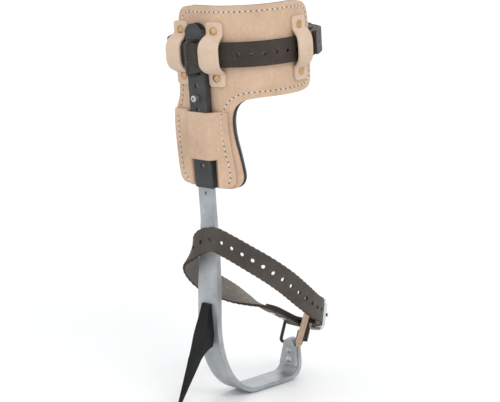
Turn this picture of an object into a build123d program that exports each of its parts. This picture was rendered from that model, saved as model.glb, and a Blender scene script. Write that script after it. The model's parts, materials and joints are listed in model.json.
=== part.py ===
"""Steel tree climber for one leg: a strap-iron shank and stirrup with a bolted gaff, a height-adjusting
sleeve with an L-shaped leather calf pad, a calf strap, and an ankle strap hung from a swinging ring.

Frame: origin at the middle of the stirrup's tread, +X from the shank to the ring side,
-Y towards the wearer's toes, +Z up. Millimetres.
"""
from build123d import *
from math import asin, copysign, cos, degrees, radians, sin
import os

os.makedirs("parts", exist_ok=True)

# Leg iron: one bar, bent into the stirrup at the bottom
SHANK_X = 63.5  # tread centre to the shank's centre line
SHANK_W = 28.6
SHANK_T = 6.4
TREAD_W = 28.0
TREAD_T = 4.8
INSTEP_RISE = 88.0  # height at which the bend into the tread ends
BEND_RUN = 60.0  # how far the inside of that bend reaches along the tread
LEAN = 5.85  # degrees that the upper shank leans outwards
LEAN_Z = 184.0  # height of the kink
UPPER_W = 20.6
UPPER_T = 4.6
TAPER_START_Z = 122.0
TAPER_END_Z = 192.0
SLEEVE_Z = 45.8  # kink to the sleeve's lower end, along the upper shank
UPPER_LENGTH = SLEEVE_Z + 150.0

# Free end of the tread
TOE_R = 12.0  # inside radius of the small bend
UPRIGHT_X = 67.0  # inner face of the upright
UPRIGHT_TOP_Z = 40.0
UPRIGHT_TOP_R = 9.5
CLIP_Y = -2.5  # middle of the ring clip
CLIP_T = 5.0
CLIP_RIVET_Z = (15.5, 26.5)
RIVET_R = 2.5

# Swinging ring
RING_R = 1.9
RING_X = UPRIGHT_X - RING_R - 0.1
RING_Z = 33.6
RING_WIDE = 29.6  # between leg centres
RING_TALL = 26.0
RING_LEAN = 20.0

# Gaff
GAFF_BACK_X = -SHANK_X - SHANK_T / 2
GAFF_SCREW_Z = (91.0, 70.0)
GAFF_SCREW_R = 3.1

# Sleeve
SLEEVE_W = 24.6
SLEEVE_T = 8.4
SLEEVE_WALL = 1.6
SLEEVE_LENGTH = 172.0
HOLE_PITCH = 12.7
HOLE_R = 2.6
TOP_HOLE = 108.0
SCREW_H = TOP_HOLE - HOLE_PITCH
DIMPLE_R = 1.7
LOW_HOLE = 23.6
LOOP_WIRE_R = 1.6
LOOP_OUT = 16.5  # wire centre in front of the sleeve's face
LOOP_Y = -5.0
LOOP_LOW, LOOP_HIGH = 120.5, 155.5

# Calf pad, measured round its face from the middle of the sleeve
FACE_X = SLEEVE_T / 2 + 0.3  # grain face of the pad behind the sleeve
PAD_R = 64.0  # radius of the grain face where the pad wraps the leg
PAD_TURN_Y = -11.0  # where the flat part ends
LEATHER_T = 3.5
FELT_T = 4.5
PAD_TOP, PAD_STEP = 188.5, 94.5
PAD_LEFT, PAD_RIGHT = -33.0, 140.0
LEG_LEFT, LEG_RIGHT = -40.5, 40.0
POCKET_TOP, POCKET_NOTCH = 80.5, 31.0
POCKET_T = 2.6

# Straps
STRAP_W = 25.4
STRAP_T = 3.4
STRAP_H = 140.0  # height of the calf strap's middle above the sleeve's lower end
KEEPER_W = 19.0
KEEPER_T = 2.6
KEEPER_RIVET = 24.0  # half the distance between a keeper's rivets
KEEPER_PLACES = {"left_keeper": -23.2, "middle_keeper": 22.4, "right_keeper": 115.0}
CAP_R = 4.3

# Roller buckles
WIRE_R = 1.75
BUCKLE_WIDE = 32.0  # between side wire centres
BUCKLE_LONG = 21.0  # heel bar to roller bar
ROLLER_R = 2.9
FOOT_T = 3.2
FOOT_PAIR = FOOT_T / 2 + 0.15  # from the middle of two layers to the middle of one
STRAP_RIVET_R = 1.5
STRAP_CAP_R = 3.6
POST_R = 1.6  # of a rivet that goes through leather
BURR_R = 3.4
GAP = 0.15  # between layers that lie on each other
RING_END_W = 20.6  # the ankle strap narrows to fit inside the ring
LINK_T = 2.8
HEEL_EYE_R, HEEL_EYE_TALL = 2.1, 10.0
LEG_EYE_R, LEG_EYE_TALL = 4.0, 6.0
LEG_EYE_AT = 11.5  # how far up the ring's leg the buckle strap sits
GUARD_WIDE, GUARD_TALL, GUARD_T = 20.0, 62.0, 2.4

lean_up = Vector(-sin(radians(LEAN)), 0, cos(radians(LEAN)))
lean_out = Vector(cos(radians(LEAN)), 0, sin(radians(LEAN)))
kink = Vector(-SHANK_X, 0, LEAN_Z)
foot = kink + lean_up * SLEEVE_Z  # centre of the sleeve's lower end


def across(height):
    """Plane square to the sleeve, its X out of the shank's inner face."""
    return Plane(origin=foot + lean_up * height, x_dir=lean_out, z_dir=lean_up)


def facing(out):
    """Plane along the sleeve's face: X is +Y, Y is up the sleeve, normal towards the leg."""
    return Plane(origin=foot + lean_out * out, x_dir=(0, 1, 0), z_dir=lean_out)


def edgewise(y):
    """Plane through the sleeve seen from its side: X towards the leg, Y up the sleeve."""
    return Plane(origin=foot + Vector(0, y, 0), x_dir=lean_out, z_dir=(0, -1, 0))


def round_face(run):
    """Point and outward normal in the sleeve's cross plane at a distance round the pad's grain face."""
    if run <= -PAD_TURN_Y:
        return Vector(FACE_X, -run), Vector(-1, 0)
    turn = (run + PAD_TURN_Y) / PAD_R
    normal = Vector(-cos(turn), -sin(turn))
    return Vector(FACE_X + PAD_R, PAD_TURN_Y) + normal * PAD_R, normal


def off_face(runs, gap):
    """Points of the sleeve's cross plane that stand a gap off the pad's grain face."""
    return [(point.X + normal.X * gap, point.Y + normal.Y * gap) for point, normal in map(round_face, runs)]


def dome_mid(base, rise, rim):
    """Point halfway along the spherical arc from a dome's rim to its tip, on the axis at base + rise."""
    ball = (rim**2 + rise**2) / (2 * abs(rise))
    half = asin(rim / ball) / 2
    centre = base + rise - copysign(ball, rise)
    return (centre + copysign(ball * cos(half), rise), ball * sin(half))


def finish(part, name):
    """Label a piece and write it."""
    part.label = name
    export_step(part, f"parts/{name}.step")


# ---------------------------------------------------------------- leg iron
tread_x = BEND_RUN - SHANK_X + SHANK_T / 2  # where the flat tread begins
corner_x = UPRIGHT_X - TOE_R
low_in = (-SHANK_X + SHANK_T / 2, INSTEP_RISE)
low_out = (-SHANK_X - SHANK_T / 2, INSTEP_RISE)
upper_start = kink + lean_up * 12
upper_end = kink + lean_up * UPPER_LENGTH
side_gap = lean_out * (UPPER_T / 2)


def flat(point):
    """X and Z of a point as a sketch point on the XZ plane."""
    return (point.X, point.Z)


front_view = Plane(origin=(0, 0, 0), x_dir=(1, 0, 0), z_dir=(0, -1, 0))
end_view = Plane(origin=(0, 0, 0), x_dir=(0, 1, 0), z_dir=(1, 0, 0))

with BuildPart() as leg_iron:
    with BuildSketch(front_view):
        with BuildLine():
            Line(low_out, (low_out[0], LEAN_Z - 14))
            Line((low_out[0], LEAN_Z - 14), flat(upper_start - side_gap))
            Line(flat(upper_start - side_gap), flat(upper_end - side_gap))
            Line(flat(upper_end - side_gap), flat(upper_end + side_gap))
            Line(flat(upper_end + side_gap), flat(upper_start + side_gap))
            Line(flat(upper_start + side_gap), (low_in[0], LEAN_Z - 14))
            Line((low_in[0], LEAN_Z - 14), low_in)
            EllipticalCenterArc((tread_x, INSTEP_RISE), BEND_RUN, INSTEP_RISE, start_angle=180, arc_size=90)
            Line((tread_x, 0), (corner_x, 0))
            CenterArc((corner_x, TOE_R), TOE_R, -90, 90)
            Line((UPRIGHT_X, TOE_R), (UPRIGHT_X + TREAD_T, TOE_R))
            CenterArc((corner_x, TOE_R), TOE_R + TREAD_T, 0, -90)
            Line((corner_x, -TREAD_T), (tread_x, -TREAD_T))
            EllipticalCenterArc(
                (tread_x, INSTEP_RISE),
                BEND_RUN + SHANK_T,
                INSTEP_RISE + TREAD_T,
                start_angle=180,
                arc_size=90,
            )
        make_face()
    extrude(amount=SHANK_W, both=True)
    with BuildSketch(end_view):
        with BuildLine():
            Polyline(
                (-TREAD_W / 2, -TREAD_T * 2),
                (TREAD_W / 2, -TREAD_T * 2),
                (TREAD_W / 2, 20),
                (SHANK_W / 2, 60),
                (SHANK_W / 2, TAPER_START_Z),
                (UPPER_W / 2, TAPER_END_Z),
                (UPPER_W / 2, 400),
                (-UPPER_W / 2, 400),
                (-UPPER_W / 2, TAPER_END_Z),
                (-SHANK_W / 2, TAPER_START_Z),
                (-SHANK_W / 2, 60),
                (-TREAD_W / 2, 20),
                close=True,
            )
        make_face()
    extrude(amount=150, both=True, mode=Mode.INTERSECT)
    fillet(leg_iron.edges().filter_by(Axis.Y).group_by(Axis.Z)[-1], 2)
    with BuildSketch(end_view.offset(UPRIGHT_X)):
        with BuildLine():
            Polyline((-TREAD_W / 2, TOE_R), (TREAD_W / 2, TOE_R))
            Line((TREAD_W / 2, TOE_R), (CLIP_Y + UPRIGHT_TOP_R, UPRIGHT_TOP_Z - UPRIGHT_TOP_R))
            ThreePointArc(
                (CLIP_Y + UPRIGHT_TOP_R, UPRIGHT_TOP_Z - UPRIGHT_TOP_R),
                (CLIP_Y, UPRIGHT_TOP_Z),
                (CLIP_Y - UPRIGHT_TOP_R, UPRIGHT_TOP_Z - UPRIGHT_TOP_R),
            )
            Line((CLIP_Y - UPRIGHT_TOP_R, UPRIGHT_TOP_Z - UPRIGHT_TOP_R), (-TREAD_W / 2, TOE_R))
        make_face()
    extrude(amount=TREAD_T)
    with Locations(*[Location((UPRIGHT_X, CLIP_Y, z), (0, 90, 0)) for z in CLIP_RIVET_Z]):
        Hole(RIVET_R, 20)
    with Locations(*[Location((low_in[0], 0, z), (0, 90, 0)) for z in GAFF_SCREW_Z]):
        CounterSinkHole(GAFF_SCREW_R + 0.2, GAFF_SCREW_R + 3.2, SHANK_T, 90)
    with BuildSketch(facing(-UPPER_T / 2)):
        with Locations(*[(0, SCREW_H - HOLE_PITCH * step) for step in range(-4, 9)]):
            Circle(DIMPLE_R)
    extrude(amount=1.6, mode=Mode.SUBTRACT)
finish(leg_iron.part, "leg_iron")

# ---------------------------------------------------------------- gaff
with BuildPart() as gaff:
    with BuildSketch(front_view):
        with BuildLine():
            Line((GAFF_BACK_X, 58), (GAFF_BACK_X, 104))
            Line((GAFF_BACK_X, 104), (GAFF_BACK_X - 3, 104))
            Spline(
                (GAFF_BACK_X - 3, 104),
                (GAFF_BACK_X - 7.5, 88),
                (GAFF_BACK_X - 13.5, 68),
                (GAFF_BACK_X - 24, 47),
            )
            Line((GAFF_BACK_X - 24, 47), (GAFF_BACK_X - 47.5, -5.5))
            Line((GAFF_BACK_X - 47.5, -5.5), (GAFF_BACK_X - 45.5, -5))
            Line((GAFF_BACK_X - 45.5, -5), (GAFF_BACK_X - 17.5, 42))
            Spline((GAFF_BACK_X - 17.5, 42), (GAFF_BACK_X - 10.5, 52), (GAFF_BACK_X, 58))
        make_face()
    extrude(amount=12, both=True)
    with BuildSketch(end_view):
        with BuildLine():
            Spline((6, 105), (7.5, 86), (9, 70), (7, 54), (5, 42))
            Line((5, 42), (0.6, -5.6))
            Line((0.6, -5.6), (-0.6, -5.6))
            Line((-0.6, -5.6), (-5, 42))
            Spline((-5, 42), (-7, 54), (-9, 70), (-7.5, 86), (-6, 105))
            Line((-6, 105), (6, 105))
        make_face()
    extrude(amount=-150, mode=Mode.INTERSECT)
    with Locations(*[Location((GAFF_BACK_X, 0, z), (0, 90, 0)) for z in GAFF_SCREW_Z]):
        Hole(GAFF_SCREW_R, 4.6)
finish(gaff.part, "gaff")

with BuildPart() as gaff_screws:
    for z in GAFF_SCREW_Z:
        with BuildSketch(Plane(origin=(0, 0, z), x_dir=(1, 0, 0), z_dir=(0, -1, 0))):
            with BuildLine():
                Polyline(
                    (low_in[0] - 0.2, 0),
                    (low_in[0] - 0.2, GAFF_SCREW_R + 2.9),
                    (low_in[0] - 3.1, GAFF_SCREW_R),
                    (GAFF_BACK_X - 4.2, GAFF_SCREW_R),
                    (GAFF_BACK_X - 4.2, 0),
                    close=True,
                )
            make_face()
        revolve(axis=Axis((0, 0, z), (1, 0, 0)))
        with BuildSketch(end_view.offset(low_in[0] - 0.2)):
            with Locations((0, z)):
                RegularPolygon(2.0, 6)
        extrude(amount=-2.2, mode=Mode.SUBTRACT)
finish(gaff_screws.part, "gaff_screws")

# ---------------------------------------------------------------- ring clip and ring
with BuildPart() as ring_clip:
    with BuildSketch(end_view.offset(UPRIGHT_X - CLIP_T)):
        with BuildLine():
            Line((-TREAD_W / 2 + 1, TOE_R - 3), (TREAD_W / 2 - 3, TOE_R - 3))
            Line((TREAD_W / 2 - 3, TOE_R - 3), (CLIP_Y + UPRIGHT_TOP_R - 1, UPRIGHT_TOP_Z - UPRIGHT_TOP_R))
            ThreePointArc(
                (CLIP_Y + UPRIGHT_TOP_R - 1, UPRIGHT_TOP_Z - UPRIGHT_TOP_R),
                (CLIP_Y, UPRIGHT_TOP_Z - 0.5),
                (CLIP_Y - UPRIGHT_TOP_R + 1, UPRIGHT_TOP_Z - UPRIGHT_TOP_R),
            )
            Line((CLIP_Y - UPRIGHT_TOP_R + 1, UPRIGHT_TOP_Z - UPRIGHT_TOP_R), (-TREAD_W / 2 + 1, TOE_R - 3))
        make_face()
    extrude(amount=CLIP_T)
    with BuildSketch(Plane(origin=(corner_x, -40, TOE_R), x_dir=(1, 0, 0), z_dir=(0, 1, 0))):
        Circle(TOE_R - 0.05)
        with Locations((0, -30)):
            Rectangle(2 * TOE_R - 0.1, 60)
    extrude(amount=80, mode=Mode.INTERSECT)
    with BuildSketch(Plane(origin=(RING_X, -40, RING_Z), x_dir=(1, 0, 0), z_dir=(0, 1, 0))):
        Circle(RING_R + 0.06)
        with Locations((5, 0)):
            Rectangle(10, 2 * RING_R + 0.12)
    extrude(amount=80, mode=Mode.SUBTRACT)
    with Locations(*[Location((UPRIGHT_X, CLIP_Y, z), (0, 90, 0)) for z in CLIP_RIVET_Z]):
        Hole(RIVET_R, 20)
finish(ring_clip.part, "ring_clip")

with BuildPart() as clip_rivets:
    for z in CLIP_RIVET_Z:
        clip_face, back_face = UPRIGHT_X - CLIP_T, UPRIGHT_X + TREAD_T
        with BuildSketch(Plane(origin=(0, CLIP_Y, z), x_dir=(1, 0, 0), z_dir=(0, -1, 0))):
            with BuildLine():
                ThreePointArc((clip_face - 2.2, 0), dome_mid(clip_face, -2.2, 4.2), (clip_face, 4.2))
                Polyline((clip_face, 4.2), (clip_face, RIVET_R), (back_face, RIVET_R), (back_face, 4.2))
                ThreePointArc((back_face, 4.2), dome_mid(back_face, 1.8, 4.2), (back_face + 1.8, 0))
                Line((back_face + 1.8, 0), (clip_face - 2.2, 0))
            make_face()
        revolve(axis=Axis((0, CLIP_Y, z), (1, 0, 0)))
finish(clip_rivets.part, "clip_rivets")

ring_plane = Plane(
    origin=(RING_X, CLIP_Y, RING_Z),
    x_dir=(0, 1, 0),
    z_dir=(cos(radians(RING_LEAN)), 0, -sin(radians(RING_LEAN))),
)
with BuildPart() as ring:
    with BuildLine(ring_plane) as ring_path:
        FilletPolyline(
            (-RING_WIDE / 2, 0),
            (RING_WIDE / 2, 0),
            (RING_WIDE / 2, RING_TALL),
            (-RING_WIDE / 2, RING_TALL),
            radius=4,
            close=True,
        )
    with BuildSketch(Plane(origin=ring_plane.from_local_coords((0, RING_TALL, 0)), z_dir=(0, 1, 0))):
        Circle(RING_R)
    sweep(path=ring_path.wire())
finish(ring.part, "ankle_ring")

# ---------------------------------------------------------------- sleeve, its loop and its screw
with BuildPart() as sleeve:
    with BuildSketch(across(0)) as tube:
        Rectangle(SLEEVE_T, SLEEVE_W)
        fillet(tube.vertices(), 1.3)
        Rectangle(SLEEVE_T - 2 * SLEEVE_WALL, SLEEVE_W - 2 * SLEEVE_WALL, mode=Mode.SUBTRACT)
    extrude(amount=SLEEVE_LENGTH)
    with BuildSketch(facing(0)):
        with Locations((0, SLEEVE_LENGTH - SLEEVE_W / 2)):
            Circle(SLEEVE_W / 2)
        with Locations((0, (SLEEVE_LENGTH - SLEEVE_W / 2) / 2)):
            Rectangle(SLEEVE_W, SLEEVE_LENGTH - SLEEVE_W / 2)
    extrude(amount=SLEEVE_T, both=True, mode=Mode.INTERSECT)
    with BuildSketch(facing(-SLEEVE_T / 2)):
        with Locations(*[(0, TOP_HOLE - HOLE_PITCH * step) for step in range(6)], (0, LOW_HOLE)):
            Circle(HOLE_R)
    extrude(amount=SLEEVE_WALL + 0.2, mode=Mode.SUBTRACT)
finish(sleeve.part, "sleeve")

with BuildPart() as strap_loop:
    face = -SLEEVE_T / 2
    with BuildLine(edgewise(LOOP_Y)) as staple:
        FilletPolyline(
            (face, LOOP_LOW),
            (face - LOOP_OUT, LOOP_LOW),
            (face - LOOP_OUT, LOOP_HIGH),
            (face, LOOP_HIGH),
            radius=4.5,
        )
    with BuildSketch(Plane(origin=staple.line @ 0, z_dir=lean_out)):
        Circle(LOOP_WIRE_R)
    sweep(path=staple.wire())
finish(strap_loop.part, "strap_loop")

with BuildPart() as lock_screw:
    with BuildSketch(Plane(origin=foot + lean_up * SCREW_H, x_dir=lean_out, z_dir=(0, -1, 0))):
        with BuildLine():
            Polyline(
                (face - 6.4, 0),
                (face - 6.4, 2.9),
                (face - 5.9, 3.4),
                (face - 2.6, 3.4),
                (face - 2.6, HOLE_R - 0.1),
                (face + SLEEVE_WALL - 0.1, HOLE_R - 0.1),
                (face + SLEEVE_WALL - 0.1, 0),
                close=True,
            )
        make_face()
    revolve(axis=Axis(foot + lean_up * SCREW_H, lean_out))
    with BuildSketch(Plane(origin=foot + lean_up * SCREW_H + lean_out * (face - 6.4), z_dir=lean_out)):
        RegularPolygon(1.7, 6)
    extrude(amount=2, mode=Mode.SUBTRACT)
finish(lock_screw.part, "lock_screw")


# ---------------------------------------------------------------- calf pad
def wrap(height, depth, thickness, left, right):
    """Cross-section of a layer that starts a given depth behind the grain face, between two runs round it."""
    turn = (right + PAD_TURN_Y) / PAD_R
    centre = (FACE_X + PAD_R, PAD_TURN_Y)
    outer, inner = PAD_R - depth, PAD_R - depth - thickness
    ends = [(centre[0] - r * cos(turn), centre[1] - r * sin(turn)) for r in (outer, inner)]
    sweep_deg = degrees(turn)
    with BuildSketch(across(height)) as section:
        with BuildLine():
            Line((FACE_X + depth + thickness, -left), (FACE_X + depth, -left))
            Line((FACE_X + depth, -left), (FACE_X + depth, PAD_TURN_Y))
            CenterArc(centre, outer, 180, sweep_deg)
            Line(*ends)
            CenterArc(centre, inner, 180 + sweep_deg, -sweep_deg)
            Line((FACE_X + depth + thickness, PAD_TURN_Y), (FACE_X + depth + thickness, -left))
        make_face()
    return section.sketch


def rivet_spot(run, height):
    """Plane on the pad's grain face, its Z outwards and its X up the sleeve."""
    point, normal = round_face(run)
    out = lean_out * normal.X + Vector(0, normal.Y, 0)
    origin = foot + lean_out * point.X + Vector(0, point.Y, 0) + lean_up * height
    return Plane(origin=origin, x_dir=lean_up, z_dir=out)


spots = [
    rivet_spot(run, STRAP_H + side * KEEPER_RIVET) for run in KEEPER_PLACES.values() for side in (-1, 1)
]


def pad_layer(depth, thickness, hole_r):
    """L-shaped layer: a wide band round the leg above a narrower tongue down the shank."""
    with BuildPart() as layer:
        for low, high, left, right in (
            (PAD_STEP, PAD_TOP, PAD_LEFT, PAD_RIGHT),
            (0, PAD_STEP, LEG_LEFT, LEG_RIGHT),
        ):
            extrude(wrap(low, depth, thickness, left, right), amount=high - low)
        for spot in spots:
            with BuildSketch(spot):
                Circle(hole_r)
            extrude(amount=-depth - thickness - 1, mode=Mode.SUBTRACT)
    return layer.part


finish(pad_layer(0, LEATHER_T, POST_R + 0.05), "pad_leather")
finish(pad_layer(LEATHER_T + GAP, FELT_T, BURR_R + 0.2), "pad_felt")

with BuildPart() as pocket:
    with BuildSketch(across(1.5)):
        over = -SLEEVE_T / 2 - 0.4
        seat = [(FACE_X - GAP, -LEG_LEFT), (FACE_X - GAP, 18.5), (over, 13.2), (over, -13.2)]
        seat += off_face((18.5, 24, 30, 36), GAP)
        rise = [(x - POCKET_T, y) for x, y in seat[:2]]
        rise += [(over - POCKET_T, 14.5), (over - POCKET_T, -14.5)]
        rise += off_face((20, 24, 30, 36), GAP + POCKET_T)
        with BuildLine():
            Polyline(*seat, *reversed(rise), close=True)
        make_face()
    extrude(amount=POCKET_TOP - 1.5)
    with BuildSketch(facing(-20)):
        with BuildLine():
            Polyline(
                (-17, 0),
                (17, 0),
                (17, POCKET_NOTCH - 8),
                (13.5, POCKET_NOTCH),
                (-13.5, POCKET_NOTCH),
                (-17, POCKET_NOTCH - 8),
                close=True,
            )
        make_face()
    extrude(amount=30, mode=Mode.SUBTRACT)
finish(pocket.part, "pocket")


def keeper(run, name, rise):
    """Leather strip riveted above and below the strap, humped over it."""
    spot = rivet_spot(run, STRAP_H)
    with BuildPart() as strip:
        with BuildSketch(Plane(origin=spot.origin, x_dir=spot.z_dir, z_dir=spot.z_dir.cross(lean_up))):
            with BuildLine():
                low, high = GAP, rise
                profile = [(low, 33), (low, 17.6), (high, 13.6), (high, -13.6), (low, -17.6), (low, -33)]
                back = [
                    (low + KEEPER_T, -33),
                    (low + KEEPER_T, -19.1),
                    (high + KEEPER_T, -15),
                    (high + KEEPER_T, 15),
                    (low + KEEPER_T, 19.1),
                    (low + KEEPER_T, 33),
                ]
                Polyline(*profile, *back, close=True)
            make_face()
        extrude(amount=KEEPER_W / 2, both=True)
        for side in (-1, 1):
            with BuildSketch(rivet_spot(run, STRAP_H + side * KEEPER_RIVET)):
                Circle(POST_R + 0.05)
            extrude(amount=10, mode=Mode.SUBTRACT)
    finish(strip.part, name)


for name, run in KEEPER_PLACES.items():
    keeper(run, name, 4.6 if name == "right_keeper" else FACE_X + SLEEVE_T / 2 + STRAP_T + 0.7)

with BuildPart() as keeper_rivets:
    for spot in spots:
        with BuildSketch(Plane(origin=spot.origin, x_dir=spot.z_dir, z_dir=spot.x_dir)):
            seat_h = GAP + KEEPER_T + 0.1
            back_h = -LEATHER_T - 0.1
            with BuildLine():
                Polyline((back_h - 1.2, 0), (back_h - 1.2, BURR_R), (back_h, BURR_R), (back_h, POST_R))
                Polyline((back_h, POST_R), (seat_h, POST_R), (seat_h, CAP_R), (seat_h + 0.5, CAP_R))
                ThreePointArc((seat_h + 0.5, CAP_R), dome_mid(seat_h + 0.5, 1.4, CAP_R), (seat_h + 1.9, 0))
                Line((seat_h + 1.9, 0), (back_h - 1.2, 0))
            make_face()
        revolve(axis=Axis(spot.origin, spot.z_dir))
finish(keeper_rivets.part, "keeper_rivets")


# ---------------------------------------------------------------- straps and buckles
def ribbon(stations, widths, thickness):
    """Flat strap through stations of (centre, outward normal), lofted straight from one to the next."""
    with BuildPart() as strip:
        last = len(stations) - 1
        for i, ((centre, normal), width) in enumerate(zip(stations, widths)):
            along = (stations[min(i + 1, last)][0] - stations[max(i - 1, 0)][0]).normalized()
            wide = along.cross(normal).normalized()
            with BuildSketch(Plane(origin=centre, x_dir=wide, z_dir=along)):
                Rectangle(width, thickness)
        loft(ruled=True)
    return strip.part


def buckle(name, place):
    """Roller buckle on a plane: origin at the heel bar, X to the roller bar, Y along the bars, Z outwards."""
    half = BUCKLE_WIDE / 2
    with BuildPart() as frame:
        with BuildLine(place) as loop:
            FilletPolyline(
                (0, -half), (BUCKLE_LONG, -half), (BUCKLE_LONG, half), (0, half), radius=3.5, close=True
            )
        with BuildSketch(Plane(origin=place.from_local_coords((BUCKLE_LONG, 0, 0)), z_dir=place.y_dir)):
            Circle(WIRE_R)
        sweep(path=loop.wire())
    finish(frame.part, f"{name}_frame")
    with BuildPart() as roller:
        with BuildSketch(Plane(origin=place.from_local_coords((BUCKLE_LONG, 0, 0)), z_dir=place.y_dir)):
            Circle(ROLLER_R)
            Circle(WIRE_R + 0.08, mode=Mode.SUBTRACT)
        extrude(amount=half - 4.2, both=True)
    finish(roller.part, f"{name}_roller")
    with BuildPart() as tongue:
        with BuildSketch(Plane(origin=place.origin, x_dir=place.x_dir, z_dir=-place.y_dir)):
            Circle(WIRE_R + 1.7)
            with BuildLine():
                Polyline(
                    (0, WIRE_R + 0.3),
                    (BUCKLE_LONG + 2.8, ROLLER_R + 0.3),
                    (BUCKLE_LONG + 3.4, ROLLER_R + 1.2),
                    (BUCKLE_LONG + 1, ROLLER_R + 2.2),
                    (0, WIRE_R + 1.7),
                    close=True,
                )
            make_face()
            Circle(WIRE_R + 0.08, mode=Mode.SUBTRACT)
        extrude(amount=1.9, both=True)
    finish(tongue.part, f"{name}_tongue")


def strap_rivets(name, seats, grip):
    """Tubular rivets through two layers of strap: each seat is a plane midway between the layers."""
    with BuildPart() as rivets:
        for seat in seats:
            with BuildSketch(seat.offset(-grip / 2)):
                Circle(STRAP_RIVET_R)
            extrude(amount=grip)
            for side in (-1, 1):
                with BuildSketch(seat.offset(side * grip / 2)):
                    Circle(STRAP_CAP_R)
                extrude(amount=side * 0.9)
        fillet(rivets.edges().filter_by(GeomType.CIRCLE).group_by(SortBy.RADIUS)[-1], 0.4)
    finish(rivets.part, name)


def round_bar(bar, toward, out, reach):
    """Stations of a strap folded round a bar: in on the inner side, round the far side, back on the outer."""
    return [
        (bar - out * reach, -out),
        (bar + (toward - out) * reach * 0.72, toward - out),
        (bar + toward * reach, toward),
        (bar + (toward + out) * reach * 0.72, toward + out),
        (bar + out * reach, out),
    ]


# Ankle strap: doubled and riveted on the ring's top bar, behind and round the shank, then to the buckle
ring_top = Vector(*ring_plane.from_local_coords((0, RING_TALL, 0)))
pull = Vector(-0.88, 0, 0.47).normalized()  # from the ring towards the back of the shank
crown = pull.cross(Vector(0, 1, 0)).normalized() * -1  # upper side of the strap at the ring
foot_fold = RING_R + 0.4 + FOOT_T / 2

heel = Vector(60.5, -38.5, 75.0)
to_roller = Vector(-0.24, -0.95, 0.2).normalized()
upright_hint = Vector(0.2, -0.217, 0.955)
bar_way = (upright_hint - to_roller * upright_hint.dot(to_roller)).normalized()
buckle_out = bar_way.cross(to_roller)
foot_buckle = Plane(origin=heel, x_dir=to_roller, z_dir=buckle_out)
buckle("foot_buckle", foot_buckle)


def at_buckle(x, z):
    """Point of the foot buckle's middle plane."""
    return Vector(*foot_buckle.from_local_coords((x, 0, z)))


foot_route = [
    (ring_top + pull * 52 + crown * FOOT_PAIR, crown),
    (ring_top + pull * 14 + crown * FOOT_PAIR, crown),
    *reversed(round_bar(ring_top, -pull, crown, foot_fold)),
    (ring_top + pull * 14 - crown * FOOT_PAIR, -crown),
    (ring_top + pull * 53 - crown * FOOT_PAIR, -crown),
    (Vector(5, 6, 94), Vector(-0.2, 0.4, -0.85)),
    (Vector(-14, 14, 104), Vector(-0.1, 0.8, -0.55)),
    (Vector(-32, 21, 114), Vector(0, 0.95, -0.3)),
    (Vector(-50, 26, 125), Vector(-0.1, 1, -0.2)),
    (Vector(-65, 26, 139), Vector(-0.5, 0.85, 0)),
    (Vector(-75, 19, 154), Vector(-0.9, 0.45, 0)),
    (Vector(-79, 7, 168), Vector(-1, 0.1, 0)),
    (Vector(-78, -6, 177), Vector(-1, -0.1, 0)),
    (Vector(-75, -18, 178), Vector(-0.95, -0.3, 0)),
    (Vector(-70, -36, 171), Vector(-0.95, -0.3, 0)),
    (Vector(-62, -54, 161), Vector(-0.9, -0.45, 0)),
    (Vector(-50, -70, 149), Vector(-0.7, -0.7, 0)),
    (Vector(-32, -80, 134), Vector(-0.4, -0.9, 0)),
    (Vector(-12, -85, 117), Vector(-0.1, -1, 0)),
    (Vector(9, -84, 102), Vector(0.2, -0.98, 0)),
    (Vector(30, -77, 92), Vector(0.5, -0.87, 0)),
    (at_buckle(BUCKLE_LONG + 12, -6.0), buckle_out * 0.8 + Vector(0.3, -0.6, 0)),
    (at_buckle(BUCKLE_LONG, -ROLLER_R - 0.35 - FOOT_T / 2), buckle_out),
    (at_buckle(BUCKLE_LONG - 7, -3.0), buckle_out),
    (at_buckle(3, 7.8), buckle_out),
    (at_buckle(-4, 9.0), buckle_out),
    (at_buckle(-14, 13.2), at_buckle(-4, 10) - at_buckle(0, 0)),
    (at_buckle(-26, 20.0), at_buckle(-4, 8) - at_buckle(0, 0)),
]
foot_widths = [RING_END_W] * 8 + [RING_END_W + 1.5, RING_END_W + 3]
foot_widths += [STRAP_W] * (len(foot_route) - len(foot_widths))
foot_seats = [Plane(origin=ring_top + pull * run, x_dir=(0, 1, 0), z_dir=crown) for run in (22, 42)]
with BuildPart() as foot_strap:
    add(ribbon(foot_route, foot_widths, FOOT_T))
    with BuildSketch(foot_buckle.offset(-12)):
        with Locations((BUCKLE_LONG / 2 - 1, 0)):
            Rectangle(BUCKLE_LONG + 2, 4.6)
    extrude(amount=22, mode=Mode.SUBTRACT)
    for seat in foot_seats:
        with BuildSketch(seat):
            Circle(STRAP_RIVET_R + 0.05)
        extrude(amount=5, both=True, mode=Mode.SUBTRACT)
finish(foot_strap.part, "foot_strap")
strap_rivets("foot_strap_rivets", foot_seats, 2 * FOOT_T + 0.7)

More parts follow.
